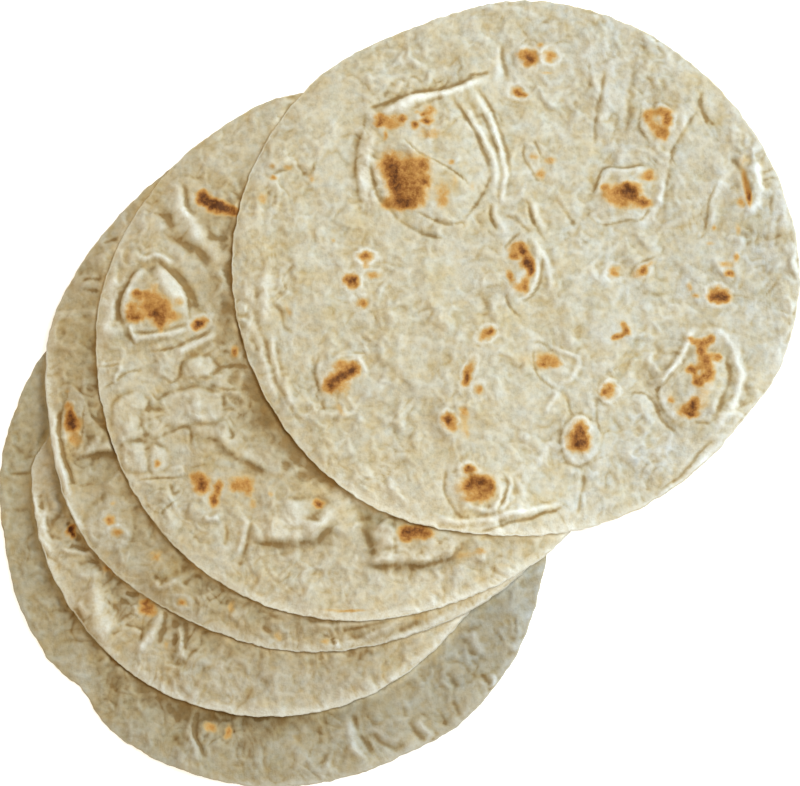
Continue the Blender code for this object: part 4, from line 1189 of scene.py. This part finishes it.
def beside_line(line, east, north):
    """Signed distance from a line (left of it is above 0) and the share of it gone by."""
    nearest = np.full(east.shape, np.inf)
    side = np.zeros_like(east)
    gone = np.zeros_like(east)
    lengths = np.hypot(*np.diff(line, axis=0).T)
    starts = np.concatenate([[0.0], np.cumsum(lengths)])
    for k, length in enumerate(lengths):
        run_x, run_y = (line[k + 1] - line[k]) / length
        along = np.clip((east - line[k, 0]) * run_x + (north - line[k, 1]) * run_y, 0.0, length)
        off_x = east - line[k, 0] - along * run_x
        off_y = north - line[k, 1] - along * run_y
        away = np.hypot(off_x, off_y)
        closer = away < nearest
        nearest = np.where(closer, away, nearest)
        side = np.where(closer, np.sign(off_y * run_x - off_x * run_y), side)
        gone = np.where(closer, (starts[k] + along) / starts[-1], gone)
    return nearest * side, gone


def inside_loop(line, east, north):
    """Whether points lie inside a closed line."""
    inside = np.zeros(east.shape, bool)
    for (x0, y0), (x1, y1) in zip(line[:-1], line[1:]):
        if y0 != y1:
            crossing = x0 + (north - y0) * (x1 - x0) / (y1 - y0)
            inside ^= ((y0 > north) != (y1 > north)) & (east < crossing)
    return inside


def hump(place, width, away):
    """A bell across a crease, at a middle and a half width in widths of the crease."""
    middle, half_width = place
    return bell((away - middle * width) / (half_width * width))


def side_of(span, width, away):
    """A smooth rise across a crease, over a span in widths of the crease."""
    return smooth_step(span[0] * width, span[1] * width, away)


def add_crease(crease, east, north, relief, shade, flour_and_highlight):
    """Adds one crease to the relief, its painted shade to the shade, and its painted highlight to the
    flour and highlight number.
    """
    closed = crease.points[:1] if crease.kind == "pad" else ()
    line = smooth_line(crease.points + closed)
    width = CREASE_WIDTHS[crease.kind] * crease.width * MM
    reach = max(CREASE_REACH * width, FADE_REACH * crease.fade * MM)
    low = line.min(axis=0) - reach
    high = line.max(axis=0) + reach
    near = np.flatnonzero((east > low[0]) & (east < high[0]) & (north > low[1]) & (north < high[1]))
    if not len(near):
        return
    east = east[near]
    north = north[near]
    away, gone = beside_line(line, east, north)
    ends = smooth_step(0.0, CREASE_ENDS, gone) * smooth_step(1.0, 1.0 - CREASE_ENDS, gone)
    uneven = CREASE_MEAN + CREASE_SWING * noise(east, north, CREASE_PATCHES, CREASE_SEED)
    uneven = np.clip(uneven, *CREASE_LEVELS)
    height = CREASE_HEIGHT * crease.height * MM * uneven
    mark = min(1.0, crease.height)
    if crease.kind == "groove":
        relief[near] -= GROOVE_DEPTH * height * bell(away / width) * ends
        shade[near] += GROOVE_SHADE * mark * bell(away / width) * ends
    elif crease.kind == "ridge":
        relief[near] += height * bell(away / width) * ends
        flour_and_highlight[near] += RIDGE_HIGHLIGHT * mark * bell(away / width) * ends
    elif crease.kind == "pad":
        away = np.abs(away) * np.where(inside_loop(line, east, north), 1.0, -1.0)
        relief[near] += PAD_SIDE_RISE * height * side_of(PAD_SIDE, width, away)
        relief[near] += PAD_CROWN_RISE * height * side_of(PAD_CROWN, width, away)
        foot = hump(PAD_FOOT, width, away)
        relief[near] -= PAD_FOOT_DEPTH * height * foot
        shade[near] += PAD_SHADE * crease.height * foot * uneven
        flour_and_highlight[near] += PAD_HIGHLIGHT * side_of(PAD_TOP, width, away)
    else:
        rise = 0.5 + 0.5 * np.tanh(STEP_STEEPNESS * away / width)
        fade = np.exp(-np.maximum(away, 0.0) / (crease.fade * MM))
        relief[near] += STEP_RISE * height * rise * fade * ends
        shade[near] += STEP_SHADE * mark * hump(STEP_FOOT, width, away) * ends
        flour_and_highlight[near] += STEP_HIGHLIGHT * mark * hump(STEP_LIP, width, away) * ends


def add_toast(toast, east, north, relief, brown, flour_and_highlight):
    """Adds one toasted spot: browned middle, pale puffed rim."""
    reach = SPOT_REACH * MM * max(toast.half_length, toast.half_width) + SPOT_MARGIN
    near = np.flatnonzero((np.abs(east - toast.x * MM) < reach) & (np.abs(north - toast.y * MM) < reach))
    if not len(near):
        return
    east = east[near]
    north = north[near]
    ragged = min(RAGGED_MOST, RAGGED_SHARE * min(toast.half_length, toast.half_width)) * MM
    x = east - toast.x * MM + ragged * noise(east, north, RAGGED_SIZE, RAGGED_SEED)
    y = north - toast.y * MM + ragged * noise(east, north, RAGGED_SIZE, RAGGED_SEED + 1)
    away = oval_share(toast, x, y)
    spot = OUTSKIRTS_SHARE * smooth_step(*SPOT_OUTSKIRTS, away)
    spot = spot + CORE_SHARE * smooth_step(*SPOT_CORE, away)
    spot = np.minimum(1.0, SPOT_STRENGTH * toast.strength * spot)
    brown[near] = 1.0 - (1.0 - brown[near]) * (1.0 - spot)
    beyond = (away - 1.0) * 0.5 * (toast.half_length + toast.half_width)
    rim = bell((beyond - SPOT_RIM) / SPOT_RIM_WIDTH)
    flour_and_highlight[near] += (SPOT_FLOUR * toast.strength + PUFF_FLOUR * toast.puff) * rim
    relief[near] += toast.puff * MM * (rim + PUFF_MIDDLE * smooth_step(*PUFF_BAND, beyond))


def add_tone_and_light(tone, east, north, light, cool):
    """Adds one patch of other tone, partly painted light and shade, to the light and the cool numbers.
    """
    along, across = turned(east - tone.x * MM, north - tone.y * MM, tone.turn)
    patch = np.exp(-(along / (tone.half_length * MM)) ** 2 - (across / (tone.half_width * MM)) ** 2)
    light += tone.light * patch
    cool += tone.cool * patch


def along_rim(stretches, bearing):
    """Share at each bearing, from stretches of rim."""
    total = np.zeros_like(bearing)
    for middle, half_angle, share in stretches:
        total += share * np.exp(-(angle_off(bearing, middle) / half_angle) ** 4)
    return total


def pressed(bread, x, y):
    """How much the rim is pressed down and thin: up to 1 at the edge itself."""
    bearing, inward = polar(bread, x, y)
    return along_rim(bread.pressed_rims, bearing) * smooth_step(*PRESSED_BAND, inward)


def skin_thickness(bread, x, y):
    """Thickness of the dressed bread: rounded at its rim, and thin where that is pressed."""
    rounding = ROUNDING * smooth_step(*ROUNDED_BAND, polar(bread, x, y)[1])
    return thickness(bread, x, y) - rounding - PRESSED_THIN * pressed(bread, x, y)


def under_height(bread, underside, x, y):
    """Height of the underside, lower where the rim is pressed."""
    return read_grid(underside, x, y) - PRESSED_DROP * pressed(bread, x, y)


def beside_uppers(bread, x, y):
    """Shares of painted shadow near the rims of the breads above, and of painted glow right at them."""
    rim_shadow = np.zeros_like(x)
    painted_glow = np.zeros_like(x)
    for upper in BREADS[BREADS.index(bread) + 1:]:
        bearing, inward = polar(upper, x, y)
        away = np.maximum(-inward, 0.0)
        shading = along_rim(upper.painted_shadow_rims, bearing) * np.exp(-away / PAINTED_SHADOW_REACH)
        rim_shadow = np.maximum(rim_shadow, shading)
        painted_glow = np.maximum(painted_glow, bell(away / PAINTED_GLOW_REACH))
    return rim_shadow, painted_glow


def cover(bread, x, y, inner, outer):
    """1 where a bread is open to view, and 0 from a depth of inner inside the rims above."""
    open_share = np.ones_like(x)
    for upper in BREADS[BREADS.index(bread) + 1:]:
        open_share *= smooth_step(inner, outer, polar(upper, x, y)[1])
    return open_share


def random_relief(bread, x, y, shade, flour_and_highlight):
    """The skin's own bumps, dents and grains, with painted shade in their hollows and painted highlights
    on their bumps.
    """
    seed = bread.seed * 10
    patchy = PATCH_MEAN + PATCH_SWING * noise(x, y, PATCHES, seed + 7)
    coarse = lumps(x, y, COARSE, seed + 2)
    middling = lumps(x, y, MIDDLING, seed + 3)
    relief = BROAD_HEIGHT * noise(x, y, BROAD, seed + 1)
    relief += COARSE_HEIGHT * patchy * coarse
    relief += MIDDLING_HEIGHT * patchy * middling
    relief += FINE_HEIGHT * noise(x, y, FINE, seed + 5)
    shade += COARSE_SHADE * np.clip(-coarse, 0.0, 1.0) + MIDDLING_SHADE * np.clip(-middling, 0.0, 1.0)
    flour_and_highlight += COARSE_HIGHLIGHT * np.clip(coarse, 0.0, 1.0) + MIDDLING_HIGHLIGHT * np.clip(middling, 0.0, 1.0)
    dented = smooth_step(*DENT_LEVELS, noise(x, y, DENT_PATCHES, seed + 6))
    dents = wrinkle(x, y, DENTS, seed + 4) * dented
    relief += DENT_HEIGHT * dents
    shade -= DENT_SHADE * dents
    for index, grain in enumerate(bread.grains):
        rise, grooves = grain_relief(bread, grain, x, y, seed + 20 * (index + 1))
        relief += rise
        shade += GRAIN_SHADE * grooves * min(1.0, GRAIN_SHADE_HEIGHT * grain.height)
    return relief


def drawn_relief(bread, x, y, numbers):
    """The bread's own creases and puffed spots, with the marks of all that is drawn on it."""
    east = x - bread.middle[0]
    north = y - bread.middle[1]
    swayed_east = east
    swayed_north = north
    for index, (size, reach) in enumerate(SWAYS):
        seed = bread.seed * 10 + index
        swayed_east = swayed_east + reach * noise(x, y, size, seed + 8)
        swayed_north = swayed_north + reach * noise(x, y, size, seed + 10)
    drawn = np.zeros_like(x)
    for crease in bread.creases:
        add_crease(crease, swayed_east, swayed_north, drawn, numbers["shade"], numbers["flour_and_highlight"])
    for toast in bread.toasts:
        add_toast(toast, east, north, drawn, numbers["brown"], numbers["flour_and_highlight"])
    for tone in bread.tones_and_light:
        add_tone_and_light(tone, east, north, numbers["light"], numbers["cool"])
    return drawn


def skin(bread, x, y):
    """Relief of the upper face, its parts drawn and random, and its points' numbers."""
    bearing, inward = polar(bread, x, y)
    numbers = {label: np.zeros_like(x) for label in NUMBERS}
    unevenness = random_relief(bread, x, y, numbers["shade"], numbers["flour_and_highlight"])
    drawn = drawn_relief(bread, x, y, numbers)
    # Pale rims get flour and painted highlight
    pale = along_rim(bread.floury_lit_rims, bearing)
    numbers["flour_and_highlight"] += pale * smooth_step(*FLOURED_BAND, inward)
    numbers["light"] += RIM_HIGHLIGHT * pale * smooth_step(*RIM_HIGHLIGHT_BAND, inward)
    # Painted shadow beside the rims above, and a painted glow right at them
    rim_shadow, painted_glow = beside_uppers(bread, x, y)
    patches = noise(x, y, PAINTED_SHADOW_PATCHES, bread.seed * 10 + 12)
    numbers["shade"] += rim_shadow * (PAINTED_SHADOW_MEAN + PAINTED_SHADOW_SWING * patches)
    numbers["light"] += PAINTED_GLOW_LIGHT * painted_glow
    numbers["cool"] -= PAINTED_GLOW_WARMTH * painted_glow
    relief = unevenness + drawn
    depth = MOST_SUNK * skin_thickness(bread, x, y)
    relief = np.where(relief < 0.0, depth * np.tanh(relief / depth), relief)
    open_share = cover(bread, x, y, *RELIEF_COVER)
    seen_share = cover(bread, x, y, *MARKS_COVER)
    edge = EDGE_RELIEF + (1.0 - EDGE_RELIEF) * smooth_step(*EDGE_BAND, inward)
    numbers = {label: value * seen_share for label, value in numbers.items()}
    return relief * open_share * edge, drawn * open_share, unevenness * open_share, numbers


def ring_bearings(bread, count):
    """Bearings of a ring's points, closer together on the side that shows."""
    turn = np.arange(count) * 2.0 * np.pi / count
    return turn - bread.crowding * np.sin(turn - math.radians(SHOWN_SIDE))


def ragged_rim(bread, bearing):
    """The fine unevenness of the edge."""
    around = bearing * bread.half_axes[0]
    turn = np.cos(bearing) * bread.half_axes[0]
    total = np.zeros_like(bearing)
    for size, height in RAGGEDNESS:
        total += height * noise(around, turn, size, bread.seed)
    return total


def ring_points(bread, bearing, share, out):
    """World x and y on one ring, at a share of the way from the middle to the face's rim."""
    radius = share * (rim_radius(bread, bearing) + ragged_rim(bread, bearing) - FACE_INSET) + out
    return bread.middle[0] + radius * np.cos(bearing), bread.middle[1] + radius * np.sin(bearing)


def disc(bread, rings, grading):
    """Points of a face in rings of 6 more points each, its triangles, and its last ring's start."""
    xs = [np.array([bread.middle[0]])]
    ys = [np.array([bread.middle[1]])]
    for ring in range(1, rings + 1):
        bearing = ring_bearings(bread, 6 * ring)
        x, y = ring_points(bread, bearing, (ring / rings) ** grading, 0.0)
        xs.append(x)
        ys.append(y)
    starts = [0] + [1 + 3 * ring * (ring - 1) for ring in range(1, rings + 1)]
    triangles = []
    for ring in range(1, rings + 1):
        sector, along = np.divmod(np.arange(6 * ring), ring)
        inner = max(1, 6 * (ring - 1))
        here = starts[ring] + sector * ring + along
        after = starts[ring] + (sector * ring + along + 1) % (6 * ring)
        inside = starts[ring - 1] + (sector * (ring - 1) + along) % inner
        triangles.append(np.column_stack([inside, here, after]))
        if ring > 1:
            more = along < ring - 1
            inside_after = starts[ring - 1] + (sector * (ring - 1) + along + 1) % inner
            triangles.append(np.column_stack([inside, after, inside_after])[more])
    return np.concatenate(xs), np.concatenate(ys), np.concatenate(triangles), starts[-1]


def band(upper, lower, count):
    """Triangles between two rings of the same count, the first one above the second."""
    here = np.arange(count)
    after = (here + 1) % count
    return np.concatenate([
        np.column_stack([upper + here, lower + here, lower + after]),
        np.column_stack([upper + here, lower + after, upper + after]),
    ])


def stitch(fine, fine_count, coarse, coarse_count):
    """Triangles between a fine ring above and a coarse ring below it, both once round."""
    triangles = []
    i = j = 0
    while i < fine_count or j < coarse_count:
        a = fine + i % fine_count
        b = coarse + j % coarse_count
        if j == coarse_count or (i < fine_count and (i + 1) * coarse_count <= (j + 1) * fine_count):
            triangles.append((a, b, fine + (i + 1) % fine_count))
            i += 1
        else:
            triangles.append((a, b, coarse + (j + 1) % coarse_count))
            j += 1
    return np.array(triangles)


def make_mesh(name, points, triangles, numbers):
    """A mesh from arrays, with one named number at each point for each entry of numbers."""
    mesh = bpy.data.meshes.new(name)
    mesh.vertices.add(len(points))
    mesh.vertices.foreach_set("co", points.astype(np.float32).ravel())
    mesh.loops.add(3 * len(triangles))
    mesh.loops.foreach_set("vertex_index", triangles.astype(np.int32).ravel())
    mesh.polygons.add(len(triangles))
    mesh.polygons.foreach_set("loop_start", np.arange(0, 3 * len(triangles), 3, dtype=np.int32))
    mesh.update(calc_edges=True)
    mesh.validate()
    for label, values in numbers.items():
        layer = mesh.attributes.new(label, "FLOAT", "POINT")
        layer.data.foreach_set("value", values.astype(np.float32))
    mesh.shade_smooth()
    return mesh


def hollows(field, triangles, rounds):
    """How far each point lies below the mean of those around it, spread over some rounds."""
    start = triangles.ravel()
    end = np.roll(triangles, 1, axis=1).ravel()
    count = np.bincount(start, minlength=len(field)) + np.bincount(end, minlength=len(field))
    smooth = field
    for _ in range(rounds):
        total = np.bincount(start, smooth[end], len(field)) + np.bincount(end, smooth[start], len(field))
        smooth = 0.5 * smooth + 0.5 * total / count
    return smooth - field


def add_curvature_shading(drawn, unevenness, triangles, numbers):
    """Painted shade in the hollows, and painted highlights on the drawn folds, however they face."""
    for rounds, depth, shade_share, light_share in CURVATURE_SHADING:
        hollow = hollows(drawn, triangles, rounds) / depth
        dip = hollows(unevenness, triangles, rounds) / depth
        hump_share = np.clip(-hollow - LIT_HUMPS * dip, 0.0, CURVATURE_MOST)
        numbers["shade"] += shade_share * np.clip(hollow + SHADED_DIPS * dip, 0.0, CURVATURE_MOST)
        numbers["light"] += light_share * hump_share
        numbers["cool"] += LIT_COOLNESS * light_share * hump_share


def bread_mesh(bread, underside):
    """One closed mesh: the upper face, the rows of the rim, and the underside."""
    x, y, upper_face, last = disc(bread, bread.rings, bread.grading)
    relief, drawn, unevenness, face_numbers = skin(bread, x, y)
    # Paints shade in the hollows and highlights on the humps
    add_curvature_shading(drawn, unevenness, upper_face, face_numbers)
    top = under_height(bread, underside, x, y) + skin_thickness(bread, x, y) + relief
    points = [np.column_stack([x, y, top])]
    numbers = {label: [value] for label, value in face_numbers.items()}
    triangles = [upper_face]

    count = 6 * bread.rings
    bearing = ring_bearings(bread, count)
    # The rim rows get the pale rims' flour and painted highlight, and painted light on the edge
    rim_numbers = {"flour_and_highlight": along_rim(bread.floury_lit_rims, bearing), "light": np.full(count, RIM_PAINTED_LIGHT)}
    row_start = last
    total = len(x)
    for out, level in RIM_ROWS:
        rim_x, rim_y = ring_points(bread, bearing, 1.0, out)
        inner_x, inner_y = ring_points(bread, bearing, 1.0, min(out, 0.0))
        rim_height = skin_thickness(bread, inner_x, inner_y) + relief[last:]
        rim_z = under_height(bread, underside, rim_x, rim_y) + level * rim_height
        points.append(np.column_stack([rim_x, rim_y, rim_z]))
        for label in numbers:
            numbers[label].append(rim_numbers.get(label, np.zeros(count)))
        triangles.append(band(row_start, total, count))
        row_start = total
        total += count

    x, y, lower_face, last = disc(bread, UNDER_RINGS, UNDER_GRADING)
    points.append(np.column_stack([x, y, under_height(bread, underside, x, y)]))
    for label in numbers:
        numbers[label].append(np.full(len(x), 1.0 if label == "under" else 0.0))
    triangles.append(stitch(row_start, count, total + last, 6 * UNDER_RINGS))
    triangles.append(lower_face[:, ::-1] + total)

    return make_mesh(
        bread.node + "_skin", np.concatenate(points), np.concatenate(triangles),
        {label: np.concatenate(values) for label, values in numbers.items()},
    )


def noise_node(tree, where, scale, detail, roughness=0.55, distortion=0.0):
    """A noise texture on the object's own coordinates; scale is bumps to the metre."""
    node = tree.nodes.new("ShaderNodeTexNoise")
    node.inputs["Scale"].default_value = scale
    node.inputs["Detail"].default_value = detail
    node.inputs["Roughness"].default_value = roughness
    node.inputs["Distortion"].default_value = distortion
    tree.links.new(where, node.inputs["Vector"])
    return node.outputs["Fac"]


def ramp_node(tree, value, stops):
    """A colour ramp over the given (position, colour) stops."""
    node = tree.nodes.new("ShaderNodeValToRGB")
    ramp = node.color_ramp
    while len(ramp.elements) < len(stops):
        ramp.elements.new(0.5)
    for element, (position, colour) in zip(ramp.elements, stops):
        element.position = position
        element.color = (*colour, 1.0) if isinstance(colour, tuple) else (colour, colour, colour, 1.0)
    tree.links.new(value, node.inputs["Fac"])
    return node.outputs["Color"]


def plug(tree, socket, entry):
    """Gives an input its link or its constant."""
    if isinstance(entry, bpy.types.NodeSocket):
        tree.links.new(entry, socket)
    else:
        socket.default_value = (*entry, 1.0) if isinstance(entry, tuple) else entry


def mix_node(tree, share, first, second, blend="MIX"):
    """Mixes two colours; each entry is a socket or a constant."""
    node = tree.nodes.new("ShaderNodeMix")
    node.data_type = "RGBA"
    node.blend_type = blend
    for number, entry in zip(MIX_INPUTS, (share, first, second)):
        plug(tree, node.inputs[number], entry)
    return node.outputs[MIX_OUTPUT]


def math_node(tree, operation, *entries):
    """One sum on up to three numbers; each entry is a socket or a constant."""
    node = tree.nodes.new("ShaderNodeMath")
    node.operation = operation
    for socket, entry in zip(node.inputs, entries):
        plug(tree, socket, entry)
    return node.outputs[0]


def number_node(tree, label):
    """The mesh's own number of that name."""
    node = tree.nodes.new("ShaderNodeAttribute")
    node.attribute_name = label
    return node.outputs["Fac"]


def scaled(colour, factor):
    """The colour, brighter or darker by the factor."""
    return tuple(channel * factor for channel in colour)


def tinted(tree, dough, value, stops):
    """The dough's colour times a ramp's colour at that value."""
    return mix_node(tree, 1.0, dough, ramp_node(tree, value, stops), "MULTIPLY")


def dough_colour(tree, place, bread):
    """Mottled, floury dough, with painted shade in its hollows and painted highlights on its folds."""
    mottle = [(position, scaled(bread.tint_and_shade, factor)) for position, factor in MOTTLE]
    dough = ramp_node(tree, noise_node(tree, place, *MOTTLE_NOISE), mottle)
    dough = tinted(tree, dough, noise_node(tree, place, *WARMTH_NOISE), WARMTH)
    dough = tinted(tree, dough, noise_node(tree, place, *HUE_NOISE), HUES)
    grit = ramp_node(tree, noise_node(tree, place, *GRIT_NOISE), GRIT)
    floured_and_lit = math_node(tree, "MULTIPLY", number_node(tree, "flour_and_highlight"), grit)
    # the pale colour is darker with the bread's tint, partly painted shade on the lower breads
    dough = mix_node(tree, floured_and_lit, dough, scaled(FLOUR_AND_HIGHLIGHT_COLOUR, bread.tint_and_shade[0] / BREADS[-1].tint_and_shade[0]))
    dough = tinted(tree, dough, number_node(tree, "shade"), SHADE)
    lighter = math_node(tree, "ADD", number_node(tree, "light"), 1.0)
    dough = mix_node(tree, 1.0, dough, lighter, "MULTIPLY")
    coolness = math_node(tree, "MULTIPLY_ADD", number_node(tree, "cool"), 0.5, 0.5)
    return tinted(tree, dough, coolness, COOLNESS)


def toasted(tree, place, dough):
    """The dough browned in its spots, and faintly on its underside."""
    crust_grain = ramp_node(tree, noise_node(tree, place, *CRUST_NOISE), CRUST_GRAIN)
    under_spots = ramp_node(tree, noise_node(tree, place, *UNDER_NOISE), UNDER_SPOTS)
    under = number_node(tree, "under")
    browned = math_node(tree, "MULTIPLY_ADD", under, under_spots, number_node(tree, "brown"))
    uneven = math_node(tree, "MULTIPLY_ADD", crust_grain, CRUST_SWING, CRUST_LEAST)
    browned = math_node(tree, "MULTIPLY", browned, uneven)
    crust = ramp_node(tree, browned, TOASTING)
    return mix_node(tree, ramp_node(tree, browned, TOAST_COVER), dough, crust)


def bread_material(bread):
    """Baked flour dough: mottled, floury, browned in spots, with painted shade in its creases and
    painted highlights on its folds.
    """
    material = bpy.data.materials.new(bread.node + "_baked")
    material.use_nodes = True
    tree = material.node_tree
    shader = tree.nodes["Principled BSDF"]
    shader.inputs["Roughness"].default_value = ROUGHNESS
    shader.inputs["Specular IOR Level"].default_value = GLOSS
    place = tree.nodes.new("ShaderNodeTexCoord").outputs["Object"]
    colour = toasted(tree, place, dough_colour(tree, place, bread))
    tree.links.new(colour, shader.inputs["Base Color"])
    bump = tree.nodes.new("ShaderNodeBump")
    bump.inputs["Strength"].default_value = BUMP_STRENGTH
    bump.inputs["Distance"].default_value = BUMP_HEIGHT
    tree.links.new(noise_node(tree, place, *BUMP_NOISE), bump.inputs["Height"])
    tree.links.new(bump.outputs["Normal"], shader.inputs["Normal"])
    return material


def make_bread(bread, underside):
    """One dressed bread, in the place of its solid."""
    mesh = bread_mesh(bread, underside)
    mesh.materials.append(bread_material(bread))
    piece = bpy.data.objects.new(bread.node + "_skin", mesh)
    bpy.context.scene.collection.objects.link(piece)
    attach(piece, "root")
    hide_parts(bread.node)


def make_floor():
    """A pale glowing floor, just under the stack."""
    floor = bpy.data.meshes.new("floor")
    half = FLOOR_SIZE / 2.0
    corners = [(-half, -half, 0.0), (half, -half, 0.0), (half, half, 0.0), (-half, half, 0.0)]
    floor.from_pydata(corners, [], [(0, 1, 2, 3)])
    material = bpy.data.materials.new("floor_white")
    material.use_nodes = True
    shader = material.node_tree.nodes["Principled BSDF"]
    shader.inputs["Base Color"].default_value = (*FLOOR_COLOUR, 1.0)
    shader.inputs["Roughness"].default_value = FLOOR_ROUGHNESS
    shader.inputs["Emission Color"].default_value = (*WHITE, 1.0)
    shader.inputs["Emission Strength"].default_value = FLOOR_GLOW
    floor.materials.append(material)
    plane = bpy.data.objects.new("floor", floor)
    plane.location.z = -FLOOR_DROP
    bpy.context.scene.collection.objects.link(plane)


def aimed(thing, direction, distance):
    """Puts a camera or light out from the aim point, looking at it."""
    away = Vector(direction).normalized()
    thing.location = Vector(AIM) + away * distance
    thing.rotation_euler = away.to_track_quat("Z", "Y").to_euler()


def make_light(name, direction, distance, size, power, colour):
    """A round soft light, aimed at the stack."""
    light = bpy.data.lights.new(name, "AREA")
    light.shape = "DISK"
    light.size = size
    light.energy = power
    light.color = colour
    lamp = bpy.data.objects.new(name, light)
    bpy.context.scene.collection.objects.link(lamp)
    aimed(lamp, direction, distance)


def make_studio():
    """The floor, two soft lights and a warm surround."""
    make_floor()
    make_light("key", *KEY)
    make_light("fill", *FILL)
    world = bpy.data.worlds.new("studio")
    world.use_nodes = True
    background = world.node_tree.nodes["Background"]
    background.inputs["Color"].default_value = (*WORLD_COLOUR, 1.0)
    background.inputs["Strength"].default_value = WORLD_STRENGTH
    bpy.context.scene.world = world
    bpy.context.scene.view_settings.view_transform = "Standard"


def make_camera():
    """A long lens at the photo's angle, so far off that the view is nearly parallel."""
    camera = bpy.data.cameras.new("camera")
    camera.lens = LENS
    camera.sensor_width = SENSOR
    camera.clip_end = FURTHEST_SEEN
    eye = bpy.data.objects.new("camera", camera)
    bpy.context.scene.collection.objects.link(eye)
    elevation = math.radians(ELEVATION)
    aimed(eye, (0.0, -math.cos(elevation), math.sin(elevation)), VIEW_WIDTH * LENS / SENSOR)
    bpy.context.scene.camera = eye


for bread, underside in zip(BREADS, lay_breads()):
    make_bread(bread, underside)
make_studio()
make_camera()
